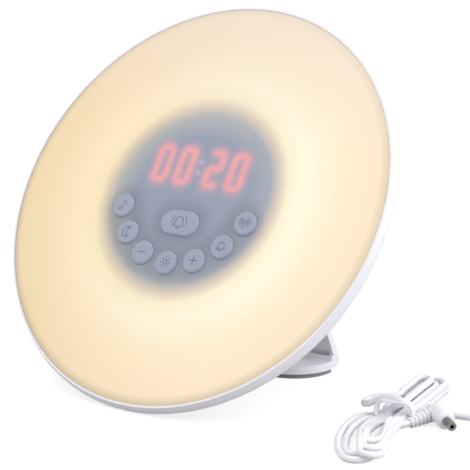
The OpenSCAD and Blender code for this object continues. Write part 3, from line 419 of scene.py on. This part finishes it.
# ---- Reflector ----
# A cone of white polyester film lies against the sloping wall, outside the ring of lamps. It is
# cut flat, rolled and pushed in, and throws the lamps' light forward onto the cover.

# White-filled polyester film, drawn: smooth and bright, with a barely uneven surface
white_film = moulded("white_polyester_film", "#f5f4f0", "#ecebe6", 0.32, 1.64, 1.2, 0.03)
dress(white_film, "reflector")

# ---- Speaker ----
# A round 36 mm speaker faces the sound holes in the back, held at its rim by three screws. Its
# basket is pressed steel, its cone is paper with a rolled edge, and its magnet is a ferrite disc.

# Zinc-plated steel sheet, pressed: cool grey with a soft shine and a fine spangle
zinc_steel = moulded("zinc_plated_steel", "#a4a6a8", "#8f9194", 0.38, 1.5, 0.6, 0.05, patch=2.5, metallic=1)
# Pressed paper pulp, dyed black: dull and rough to the eye
paper_pulp = moulded("black_paper_pulp", "#2c2b2b", "#1e1e1e", 0.9, 1.5, 0.35, 0.6, patch=1.5)
# Sintered ferrite: dark grey and slightly grainy, with a dull ground shine
ferrite = moulded("sintered_ferrite", "#4c4e52", "#3e4044", 0.5, 1.9, 0.25, 0.25, patch=4)
# Zinc-plated steel screws: brighter than the sheet, with a clear passivated shine
screw_zinc = moulded("bright_zinc_screw", "#babbb8", "#a3a4a0", 0.28, 1.5, 0.2, 0.05, patch=1, metallic=1)
dress(zinc_steel, "speaker_basket")
dress(paper_pulp, "speaker_cone")
dress(ferrite, "speaker_magnet")
dress(screw_zinc, "speaker_screws")

# ---- Main board ----
# The main board stands on four posts of the back, with the radio, the clock and the power inlet.
# It is glass epoxy laminate, etched, masked in green and soldered, with its plugs facing forward.
LEAN = math.radians(33.4)
TRACK_PITCH = 1.27
TRACK_SHARE = 0.16
BOARD_PADS = 6


def printed_board(name, mask, track):
    """A masked board, with its copper tracks showing through as paler lines that stand up a little."""
    made, tree, output, place = new_material(name)
    flat = add_node(tree, "ShaderNodeVectorRotate", {"rotation_type": "X_AXIS", "Angle": LEAN - math.pi / 2},
                    {"Vector": place}).outputs[0]
    tracks = add_node(tree, "ShaderNodeTexBrick",
                      {"Scale": 1, "Mortar Size": TRACK_PITCH * TRACK_SHARE, "Mortar Smooth": 0.1,
                       "Brick Width": TRACK_PITCH * BOARD_PADS, "Row Height": TRACK_PITCH,
                       "Color1": linear(mask), "Color2": linear(mask), "Mortar": linear(track)},
                      {"Vector": flat})
    relief = add_node(tree, "ShaderNodeBump", {"Strength": 0.4, "Distance": 0.035 * MM},
                      {"Height": tracks.outputs["Fac"]})
    surface = add_node(tree, "ShaderNodeBsdfPrincipled", {"Roughness": 0.3, "IOR": 1.55},
                       {"Base Color": tracks.outputs[0], "Normal": relief.outputs[0]})
    tree.links.new(surface.outputs[0], output.inputs[0])
    return made


# Green solder mask over etched copper: a glossy green skin with tracks 1.27 mm apart
green_mask = printed_board("green_solder_mask", "#1f5a3c", "#2f7a53")
# Filled epoxy, transfer moulded: near black, matt and slightly sandy
chip_epoxy = moulded("black_chip_epoxy", "#2b2c2e", "#222325", 0.62, 1.55, 0.2, 0.2, patch=3)
# Shrunk polyester sleeves over the cans: dark and smooth, with a tight shine
can_sleeve = moulded("dark_pet_sleeve", "#363a41", "#2b2f35", 0.25, 1.57, 0.5, 0.03, patch=5)
# Tinned steel, folded: a pale shield over the radio, with a faint cloudy bloom
tinned = moulded("tinned_steel_sheet", "#c3c3bf", "#adaeab", 0.3, 1.5, 0.4, 0.04, patch=3, metallic=1)
# Glass-filled polybutylene, moulded: a black block that takes the plug, with a slightly uneven skin
inlet_black = moulded("black_pbt", "#26282b", "#1d1f21", 0.4, 1.56, 0.3, 0.12, patch=4)
dress(green_mask, "main_board")
dress(chip_epoxy, "main_chips")
dress(can_sleeve, "capacitors")
dress(tinned, "radio_shield")
dress(inlet_black, "power_inlet")
dress(screw_zinc, "board_screws")

# ---- Backup cell ----
# A 20 mm coin cell keeps the time when the power is off. It lies in a round pocket of the back,
# between two sprung contacts, behind a white door that turns an eighth of a turn to open.

# Nickel-plated stainless steel, deep drawn: a bright can with a fine, even grain
cell_steel = moulded("nickel_plated_cell", "#c4c5c5", "#b0b1b1", 0.26, 1.5, 0.15, 0.08, patch=6, metallic=1)
# Phosphor bronze strip, gilt: warm yellow springs, with a soft rolled shine
spring_bronze = moulded("gilt_phosphor_bronze", "#d6b36a", "#bf9a52", 0.3, 1.5, 0.2, 0.06, patch=2,
                        metallic=1)
dress(cell_steel, "backup_cell")
dress(spring_bronze, "cell_contacts")

# ---- Light ring ----
# A ring board round the display carries 24 warm white lamps and 8 coloured ones, facing forward.
# It is aluminium-backed laminate masked in white, screwed to six posts of the back.

# White solder mask: a satin white skin, with tracks that show as faint paler lines
white_mask = printed_board("white_solder_mask", "#eeeeea", "#f8f8f4")
# Phosphor in clear silicone: a pale yellow gel, slightly glossy, glowing faintly from behind
phosphor = moulded("warm_phosphor_gel", "#f7d878", "#efc95f", 0.3, 1.41, 0.3, 0.05, patch=1.5,
                   **{"Emission Color": linear("#ffe9b0"), "Emission Strength": 0.4})
# White polyphthalamide round a clear window: small bright blocks with a smooth front
lamp_white = moulded("white_ppa_lamp", "#f1f1ed", "#e6e6e1", 0.34, 1.6, 0.3, 0.05, patch=2)
dress(white_mask, "light_ring_board")
dress(phosphor, "warm_lights")
dress(lamp_white, "colour_lights")
dress(screw_zinc, "ring_screws")

# ---- Display and control board ----
# A grey ABS housing stands behind the middle of the cover. The display and the eight switches sit
# on the round control board inside it, and four screws hold the board up against its front plate.

# Grey ABS, injection moulded: even and dull, so that it shows through the cover as a soft shade
abs_grey = moulded("satin_grey_abs", "#626975", "#565d68", 0.5, 1.54, 0.6, 0.1, patch=30)
# Black noryl with a painted front: flat and dark, so that unlit bars don't show
display_black = moulded("matt_black_noryl", "#25272a", "#1c1e20", 0.7, 1.56, 0.25, 0.15, patch=8)
# Red-dyed epoxy, cast over the chips: a clear red that glows from inside
red_epoxy = moulded("red_dyed_epoxy", "#e8484f", "#d83a42", 0.25, 1.52, 0.5, 0.03, patch=3,
                    **{"Emission Color": linear("#ff5a55"), "Emission Strength": 0.5})
# Black acetal: the switches' plungers, smooth and slightly waxy
acetal = moulded("black_acetal", "#2a2c2f", "#212325", 0.35, 1.48, 0.4, 0.04, patch=2)
dress(abs_grey, "display_housing")
dress(display_black, "display_module")
dress(red_epoxy, "display_bars")
dress(green_mask, "control_board")
dress(chip_epoxy, "control_chips")
dress(zinc_steel, "switch_housings")
dress(screw_zinc, "housing_screws", "case_screws")
dress(acetal, "plunger_sound", "plunger_sleep", "plunger_minus", "plunger_light", "plunger_plus",
      "plunger_alarm", "plunger_radio", "plunger_snooze")

# ---- Wires inside ----
# Two pairs of wires run from the main board to the speaker and to the light ring, and a flat
# ribbon joins the main board to the control board behind the display.
CORE_PITCH = 1.0
# How many radians the wave pattern turns through in one unit
WAVE_TURN = 20

# Soft PVC insulation: a bright red skin with a dull extruded shine
red_pvc = moulded("red_pvc_insulation", "#b93a34", "#a92f2a", 0.45, 1.53, 0.4, 0.1, patch=6)


def ribbon_finish():
    """Grey ribbon of soft PVC, with a groove between each core and the next, and painted shade darker in the
    grooves.
    """
    made, tree, output, place = new_material("grey_ribbon_pvc")
    cores = add_node(tree, "ShaderNodeTexWave",
                     {"bands_direction": "X", "Scale": math.tau / WAVE_TURN / CORE_PITCH}, {"Vector": place})
    # Painted shade: the grey goes darker down into each groove and paler over each core
    colour = add_node(tree, "ShaderNodeMix",
                      {"data_type": "RGBA", 6: linear("#b9b9b6"), 7: linear("#dbdbd8")},
                      {0: cores.outputs[1]})
    relief = add_node(tree, "ShaderNodeBump", {"Strength": 0.8, "Distance": 0.2 * MM},
                      {"Height": cores.outputs[1]})
    surface = add_node(tree, "ShaderNodeBsdfPrincipled", {"Roughness": 0.5, "IOR": 1.53},
                       {"Base Color": colour.outputs[2], "Normal": relief.outputs[0]})
    tree.links.new(surface.outputs[0], output.inputs[0])
    return made


dress(red_pvc, "inner_wires")
dress(ribbon_finish(), "board_ribbon")

# ---- Light cover ----
# A shallow dome of opal polycarbonate, vacuum formed, with a rolled edge that sits in the case.
# The lamps make a warm ring of light in it, and the display housing shows as a grey shade.
FACE_MIDDLE = Vector((0, -2.7333, 74.3906))
FACE_UP = Vector((0, math.sin(LEAN), math.cos(LEAN)))
FACE_OUT = Vector((0, -math.cos(LEAN), math.sin(LEAN)))
COVER_R = 84.05
COVER_RISE = 2.6
# Which way the light goes from warmest to palest, and over what width
BRIGHT_WAY = math.radians(-12)
BRIGHT_SPAN = 90
RAMP_END = 90
# The light's colour from the housing's shade in the middle to the lip's shade at the edge, as a
# radius in millimetres and a colour, on the side where the lamps look palest and the warmest
PALE_SIDE = ((26, "#979fb1"), (35.5, "#a3a9b6"), (39.6, "#dacbbb"), (43.5, "#faf1d3"), (50, "#fff8e0"),
             (64, "#fdedcd"), (80.5, "#fae6c8"), (84, "#dfceb2"))
WARM_SIDE = ((26, "#949cae"), (35.5, "#b2b2ae"), (39.6, "#d9c8b0"), (43.5, "#f5e3bc"), (50, "#fae7c2"),
             (64, "#f4dfb8"), (80.5, "#f0d8af"), (84, "#cdbb9c"))
KEY_ARC_R = 31.4
KEY_ARC_UP = 3.7
KEY_STEP = math.radians(23.2)
KEY_R = 4.9
# The end keys' places in the arc, counted from the middle one
LAST_KEY = 3
SNOOZE_DROP = 11
SNOOZE_HALF = (8.9, 5.25)
# How much of the way from key to key counts in their shade, so that their shades join up. Past
# the end keys the whole way counts
SHADE_JOIN = 0.45
SHADE_SHIFT = (-0.2, -0.6)
SHADE_WIDTH = 8.5
SHADE = 0.21
# How much faster the shade ends outside the arc of keys than inside it
SHADE_OUTER = 0.7
# How much paler painted light the top of the cover takes, and where up the cover that begins
TOP_PALER = 0.8
TOP_FROM = 0.3
# How much of its colour the cover gives as light from behind, and how much it takes from the room
COVER_GLOW = 0.73
BODY_SHARE = 0.28


def math_node(tree, operation, *values, clamp=False):
    """A Math node whose inputs are numbers or other nodes' outputs; gives its output."""
    numbers = {k: value for k, value in enumerate(values) if isinstance(value, (int, float))}
    sockets = {k: value for k, value in enumerate(values) if k not in numbers}
    return add_node(tree, "ShaderNodeMath", {"operation": operation, "use_clamp": clamp, **numbers},
                    sockets).outputs[0]


def ramp(tree, stops, factor):
    """A colour ramp through stops at radii in millimetres."""
    node = add_node(tree, "ShaderNodeValToRGB", links={0: factor})
    elements = node.color_ramp.elements
    while len(elements) < len(stops):
        elements.new(0.5)
    for element, (radius, code) in zip(elements, stops):
        element.position = radius / RAMP_END
        element.color = linear(code)
    return node.outputs[0]


def lit_cover():
    """The opal cover with the light behind it, worked out from the place on the face."""
    made, tree, output, place = new_material("opal_polycarbonate")
    from_middle = add_node(tree, "ShaderNodeVectorMath", {"operation": "SUBTRACT", 1: FACE_MIDDLE},
                           {0: place}).outputs[0]
    right = add_node(tree, "ShaderNodeVectorMath", {"operation": "DOT_PRODUCT", 1: (1, 0, 0)},
                     {0: from_middle}).outputs["Value"]
    up = add_node(tree, "ShaderNodeVectorMath", {"operation": "DOT_PRODUCT", 1: FACE_UP},
                  {0: from_middle}).outputs["Value"]
    radius = math_node(tree, "SQRT", math_node(tree, "MULTIPLY_ADD", right, right,
                                               math_node(tree, "MULTIPLY", up, up)))
    share = math_node(tree, "DIVIDE", radius, RAMP_END)
    bright = math_node(tree, "MULTIPLY_ADD", right, math.cos(BRIGHT_WAY) / BRIGHT_SPAN,
                       math_node(tree, "MULTIPLY_ADD", up, math.sin(BRIGHT_WAY) / BRIGHT_SPAN, 0.5),
                       clamp=True)
    glow = add_node(tree, "ShaderNodeMix", {"data_type": "RGBA"},
                    {0: bright, 6: ramp(tree, WARM_SIDE, share), 7: ramp(tree, PALE_SIDE, share)}).outputs[2]
    # Painted light: the cover goes paler towards its top
    high = math_node(tree, "MULTIPLY_ADD", up, TOP_PALER / COVER_R, -TOP_PALER * TOP_FROM, clamp=True)
    lit = add_node(tree, "ShaderNodeMix", {"data_type": "RGBA", 7: linear("#efe3da")},
                   {0: high, 6: glow}).outputs[2]
    # The soft shade of the keys: how far a point lies from the nearest key's edge
    x = math_node(tree, "SUBTRACT", right, SHADE_SHIFT[0])
    y = math_node(tree, "SUBTRACT", up, SHADE_SHIFT[1])
    down = math_node(tree, "SUBTRACT", KEY_ARC_UP, y)
    reach = math_node(tree, "SQRT", math_node(tree, "MULTIPLY_ADD", x, x,
                                              math_node(tree, "MULTIPLY", down, down)))
    turn = math_node(tree, "DIVIDE", math_node(tree, "ARCTAN2", x, down), KEY_STEP)
    nearest = math_node(tree, "MAXIMUM", math_node(tree, "MINIMUM", math_node(
        tree, "ROUND", turn), LAST_KEY), -LAST_KEY)
    from_key = math_node(tree, "ABSOLUTE", math_node(tree, "SUBTRACT", turn, nearest))
    past_last = math_node(tree, "MAXIMUM", math_node(tree, "SUBTRACT", math_node(
        tree, "ABSOLUTE", turn), LAST_KEY), 0)
    joined = math_node(tree, "MULTIPLY_ADD", from_key, SHADE_JOIN,
                       math_node(tree, "MULTIPLY", past_last, 1 - SHADE_JOIN))
    swing = math_node(tree, "MULTIPLY", joined, KEY_STEP)
    squares = math_node(tree, "MULTIPLY_ADD", reach, reach, KEY_ARC_R ** 2)
    between = math_node(tree, "MULTIPLY", math_node(tree, "MULTIPLY", reach, 2 * KEY_ARC_R),
                        math_node(tree, "COSINE", swing))
    outside = math_node(tree, "DIVIDE", math_node(tree, "SUBTRACT", reach, KEY_ARC_R), KEY_R, clamp=True)
    to_round = math_node(tree, "MULTIPLY", math_node(tree, "SUBTRACT", math_node(
        tree, "SQRT", math_node(tree, "SUBTRACT", squares, between)), KEY_R),
                         math_node(tree, "MULTIPLY_ADD", outside, SHADE_OUTER, 1))
    along = math_node(tree, "MAXIMUM", math_node(tree, "SUBTRACT", math_node(tree, "ABSOLUTE", x),
                                                 SNOOZE_HALF[0] - SNOOZE_HALF[1]), 0)
    above = math_node(tree, "ADD", y, SNOOZE_DROP)
    to_snooze = math_node(tree, "SUBTRACT", math_node(tree, "SQRT", math_node(
        tree, "MULTIPLY_ADD", along, along, math_node(tree, "MULTIPLY", above, above))), SNOOZE_HALF[1])
    shade = add_node(tree, "ShaderNodeMapRange",
                     {"interpolation_type": "SMOOTHSTEP", "From Max": SHADE_WIDTH, "To Min": 1 - SHADE,
                      "To Max": 1.0}, {0: math_node(tree, "MINIMUM", to_round, to_snooze)}).outputs[0]
    shaded = add_node(tree, "ShaderNodeVectorMath", {"operation": "SCALE"},
                      {0: lit, "Scale": shade}).outputs[0]
    # The digits' light, where the display's own patch of the cover carries it
    digits = add_node(tree, "ShaderNodeAttribute", {"attribute_name": "digit_light"}).outputs["Fac"]
    halo = add_node(tree, "ShaderNodeAttribute", {"attribute_name": "digit_halo"}).outputs["Fac"]
    colon = add_node(tree, "ShaderNodeAttribute", {"attribute_name": "colon_light"}).outputs["Fac"]
    with_halo = add_node(tree, "ShaderNodeMix", {"data_type": "RGBA", 7: linear("#cfa3ae")},
                         {0: halo, 6: shaded}).outputs[2]
    with_colon = add_node(tree, "ShaderNodeMix", {"data_type": "RGBA", 7: linear("#cdb9d6")},
                          {0: colon, 6: with_halo}).outputs[2]
    seen = add_node(tree, "ShaderNodeMix", {"data_type": "RGBA", 7: linear("#f0a5a6")},
                    {0: digits, 6: with_colon}).outputs[2]
    body = add_node(tree, "ShaderNodeVectorMath", {"operation": "SCALE", "Scale": BODY_SHARE},
                    {0: seen}).outputs[0]
    fine = add_node(tree, "ShaderNodeTexNoise", {"Scale": 1.2, "Detail": 2}, {"Vector": place})
    relief = add_node(tree, "ShaderNodeBump", {"Strength": 0.05, "Distance": 0.2 * MM},
                      {"Height": fine.outputs[0]})
    surface = add_node(tree, "ShaderNodeBsdfPrincipled",
                       {"Roughness": 0.6, "IOR": 1.49, "Specular IOR Level": 0.3,
                        "Emission Strength": COVER_GLOW},
                       {"Base Color": body, "Emission Color": seen, "Normal": relief.outputs[0]})
    tree.links.new(surface.outputs[0], output.inputs[0])
    return made


opal = lit_cover()
dress(opal, "light_cover")

# ---- Digits ----
# The red light-emitting bars stand behind the opal cover, so the cover carries their soft light.
# This thin skin on the cover is the part that the bars light: four digits and a colon, 00:20.
DIGITS_UP = 12.8
DIGIT_PLACES = ((-17.8, "abcdef"), (-7, "abcdef"), (7, "abged"), (17.8, "abcdef"))
DIGIT_HALF = (2.6, 6.85)
BAR_HALF = 1.0
BAR_END = 1.2
BARS = {"a": ((-1, 1), (1, 1)), "b": ((1, 1), (1, 0)), "c": ((1, 0), (1, -1)), "d": ((1, -1), (-1, -1)),
        "e": ((-1, -1), (-1, 0)), "f": ((-1, 0), (-1, 1)), "g": ((-1, 0), (1, 0))}
COLON_OFFSET = 2.283
COLON_HALF = 0.75
SKIN_HALF = (26, 12)
SKIN_STEP = 0.4
SKIN_LIFT = 0.05
GLOW_SOFTNESS = 0.42
HALO_REACH = 2.6


def on_face(right, up, out):
    """A point of the clock's face in metres, from its middle, up the face and out of it."""
    return (FACE_MIDDLE + Vector((right, 0, 0)) + up * FACE_UP + out * FACE_OUT) * MM


def cover_height(right, up):
    """How far the cover stands out of the face's plane at a place on it."""
    return COVER_RISE * (1 - (right ** 2 + up ** 2) / COVER_R ** 2)


def distance_to_bar(point, start, end):
    """How far a point lies from a bar's middle line."""
    along = end - start
    share = max(0, min(1, (point - start).dot(along) / along.length_squared))
    return (point - start - along * share).length


def lit_bars():
    """The middle lines of the bars that are lit, from the middle of the display."""
    lines = []
    for place, lit in DIGIT_PLACES:
        for bar in lit:
            start, end = (Vector((place + x * DIGIT_HALF[0], y * DIGIT_HALF[1])) for x, y in BARS[bar])
            cut = (end - start).normalized() * BAR_END
            lines.append((start + cut, end - cut))
    return lines


def glow_at(distance, half):
    """The light through the cover this far from the middle of a bar or a dot, 1 over it."""
    return 1 / (1 + math.exp((distance - half) / GLOW_SOFTNESS))


def digit_skin():
    """A fine mesh on the cover over the display, with the light of the bars stored on it."""
    counts = [round(2 * half / SKIN_STEP) + 1 for half in SKIN_HALF]
    lines = lit_bars()
    dots = [Vector((0, side * COLON_OFFSET)) for side in (-1, 1)]
    points = []
    light = {"digit_light": [], "digit_halo": [], "colon_light": []}
    for row in range(counts[1]):
        for column in range(counts[0]):
            right = column * SKIN_STEP - SKIN_HALF[0]
            up = row * SKIN_STEP - SKIN_HALF[1]
            points.append(on_face(right, up + DIGITS_UP,
                                  cover_height(right, up + DIGITS_UP) + SKIN_LIFT))
            here = Vector((right, up))
            bar = min(distance_to_bar(here, *line) for line in lines)
            dot = min((here - place).length for place in dots)
            light["digit_light"].append(glow_at(bar, BAR_HALF))
            light["digit_halo"].append(math.exp(-(bar / HALO_REACH) ** 2))
            light["colon_light"].append(glow_at(dot, COLON_HALF))
    faces = [(k, k + 1, k + 1 + counts[0], k + counts[0]) for k in range(len(points) - counts[0])
             if (k + 1) % counts[0]]
    data = bpy.data.meshes.new("digit_skin")
    data.from_pydata(points, [], faces)
    for name, values in light.items():
        data.attributes.new(name, "FLOAT", "POINT").data.foreach_set("value", values)
    data.shade_smooth()
    data.materials.append(opal)
    return data


digits_piece = bpy.data.objects.new("digit_skin", digit_skin())
scene.collection.objects.link(digits_piece)
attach(digits_piece, "clock")

# ---- Keys ----
# Eight grey silicone keys come through holes in the cover, seven in an arc and a wide snooze key.
# Their caps glow faintly from the lamps, and each has a small grey picture printed on it.
KEY_FRONT = 3.4
KEY_NAMES = ("sound", "sleep", "minus", "light", "plus", "alarm", "radio")
PICTURE_SCALE = 1.25
INK_R = 0.3
INK_SUNK = 0.2
ARC_STEPS = 14

# Translucent silicone rubber: a soft grey-blue skin with no sharp highlight, and some of the
# lamps' light in it, so that its edges don't go dark
silicone = moulded("grey_silicone", "#8c94a4", "#858d9e", 0.6, 1.43, 0.35, 0.1, patch=20,
                   **{"Emission Color": linear("#a3a9b8"), "Emission Strength": 0.24})
dress(silicone, *[f"key_{name}" for name in KEY_NAMES], "key_snooze")


def arc(x, y, radius, first, last):
    """Points of an arc, in millimetres, between two angles in degrees."""
    angles = [math.radians(first + (last - first) * step / ARC_STEPS) for step in range(ARC_STEPS + 1)]
    return [(x + radius * math.cos(angle), y + radius * math.sin(angle)) for angle in angles]


def bell(scale):
    """A bell's outline with its clapper."""
    outline = ([(-1.6, -0.9), (-1.15, -0.4)] + arc(0, 0.35, 1.05, 170, 10)
               + [(1.15, -0.4), (1.6, -0.9), (-1.6, -0.9)])
    clapper = arc(0, -0.95, 0.55, 200, 340)
    return [[(scale * x, scale * y) for x, y in stroke] for stroke in (outline, clapper)]


PICTURES = {
    "sound": [arc(-0.35, -1.2, 0.55, 0, 360), [(0.2, -1.2), (0.2, 1.7), (1.2, 1), (1.25, 0.2)]],
    "sleep": [arc(0, 0, 1.7, 60, 300), arc(1.35, 0, 1.555, 251.2, 108.8)],
    "minus": [[(-1.6, 0), (1.6, 0)]],
    "light": [arc(0, 0, 0.8, 0, 360)] + [[(1.35 * math.cos(a), 1.35 * math.sin(a)),
                                          (2 * math.cos(a), 2 * math.sin(a))]
                                         for a in (math.tau * k / 8 for k in range(8))],
    "plus": [[(-1.6, 0), (1.6, 0)], [(0, -1.6), (0, 1.6)]],
    "alarm": bell(1),
    "radio": [arc(0, 0.4, 0.3, 0, 360), [(0, 0), (0, -1.8)]] + [
        arc(0, 0.4, radius, first, first + 100) for radius in (1, 1.75) for first in (-50, 130)],
    "snooze": bell(1.35) + [arc(0, 0.3, 2.7, first, first + 60) for first in (-20, 140)]}

# Pad-printed ink: dull, a darker grey than the silicone, and a hair proud of it
ink = moulded("dark_grey_ink", "#6f778b", "#677084", 0.6, 1.5, 0.3, 0.1, patch=2)


def print_picture(name, right, up):
    """Prints a key's picture on its front, and it moves with the key."""
    data = bpy.data.curves.new(f"picture_{name}", "CURVE")
    data.dimensions = "3D"
    data.bevel_depth = INK_R * MM
    data.bevel_resolution = 3
    data.use_fill_caps = True
    for stroke in PICTURES[name]:
        spline = data.splines.new("POLY")
        spline.points.add(len(stroke) - 1)
        for knot, (x, y) in zip(spline.points, stroke):
            knot.co = (*on_face(right + PICTURE_SCALE * x, up + PICTURE_SCALE * y, KEY_FRONT - INK_SUNK), 1)
    data.materials.append(ink)
    picture = bpy.data.objects.new(f"picture_{name}", data)
    scene.collection.objects.link(picture)
    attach(picture, f"key_{name}_body")


for k, name in enumerate(KEY_NAMES):
    turn = (k - (len(KEY_NAMES) - 1) / 2) * KEY_STEP
    print_picture(name, KEY_ARC_R * math.sin(turn), KEY_ARC_UP - KEY_ARC_R * math.cos(turn))
print_picture("snooze", 0, -SNOOZE_DROP)

# ---- Stand ----
# The wedge behind the clock holds it at its lean: white ABS, moulded hollow, with a rubber pad
# under its foot. Four screws go from inside the case through its back into the stand.
dress(abs_white, "stand")
dress(screw_zinc, "stand_screws")

# Grey styrene-butadiene rubber, die cut: dull, with a fine matt grain
rubber = moulded("grey_rubber", "#94969e", "#8a8c94", 0.75, 1.52, 0.4, 0.3)
dress(rubber, "foot_pad")

# ---- Room ----
# A plain pale floor and a plain pale room, with one soft lamp above to the front left and one at
# the right.
FLOOR_SIZE = 3.0
# The light that the floor adds for the camera and for reflections, which brings it up to white
FLOOR_LIFT = 0.72
# The room's level on matt surfaces. The camera, reflections and clear parts see it at 1
ROOM_LIGHT = 0.84
# What the lamps point at, and how wide they are, in metres
LAMP_AIM = Vector((0, 0, 0.05))
LAMP_WIDTH = 1.0
floor_mesh = bpy.data.meshes.new("floor")
floor_mesh.from_pydata([(x * FLOOR_SIZE, y * FLOOR_SIZE, 0) for x, y in ((-1, -1), (1, -1), (1, 1), (-1, 1))],
                       [], [(0, 1, 2, 3)])
floor = bpy.data.objects.new("floor", floor_mesh)
scene.collection.objects.link(floor)


def pale_floor():
    """Matt pale grey, brought up to white for the camera and reflections, so that only shadows show."""
    made, tree, output, place = new_material("pale_floor")
    matt = add_node(tree, "ShaderNodeBsdfDiffuse", {"Color": linear("#a8a8a8")})
    lift = add_node(tree, "ShaderNodeEmission", {"Color": linear("#ffffff"), "Strength": FLOOR_LIFT})
    both = add_node(tree, "ShaderNodeAddShader", links={0: matt.outputs[0], 1: lift.outputs[0]})
    path = add_node(tree, "ShaderNodeLightPath")
    seen = math_node(tree, "MAXIMUM", path.outputs["Is Camera Ray"], path.outputs["Is Glossy Ray"])
    shown = add_node(tree, "ShaderNodeMixShader", links={0: seen, 1: matt.outputs[0], 2: both.outputs[0]})
    tree.links.new(shown.outputs[0], output.inputs[0])
    return made


floor_mesh.materials.append(pale_floor())

world = bpy.data.worlds.new("room")
world.use_nodes = True
scene.world = world
world_tree = world.node_tree
world_tree.nodes.clear()
world_path = add_node(world_tree, "ShaderNodeLightPath")
seen_white = math_node(world_tree, "MAXIMUM", world_path.outputs["Is Camera Ray"],
                       math_node(world_tree, "MAXIMUM", world_path.outputs["Is Glossy Ray"],
                                 world_path.outputs["Is Transmission Ray"]))
room_level = add_node(world_tree, "ShaderNodeMapRange", {"To Min": ROOM_LIGHT, "To Max": 1.0},
                      {0: seen_white})
room_light = add_node(world_tree, "ShaderNodeBackground", {"Color": linear("#fdfdff")},
                      {"Strength": room_level.outputs[0]})
add_node(world_tree, "ShaderNodeOutputWorld", links={0: room_light.outputs[0]})


def soft_lamp(name, place, power):
    """A square area lamp at a place in metres, turned towards the clock."""
    data = bpy.data.lights.new(name, "AREA")
    data.shape = "SQUARE"
    data.size = LAMP_WIDTH
    data.energy = power
    lamp = bpy.data.objects.new(name, data)
    lamp.location = place
    lamp.rotation_euler = (Vector(place) - LAMP_AIM).to_track_quat("Z", "Y").to_euler()
    scene.collection.objects.link(lamp)


soft_lamp("key_lamp", (-0.5, -0.7, 1.3), 5)
soft_lamp("fill_lamp", (1.1, 0.2, 0.6), 8)
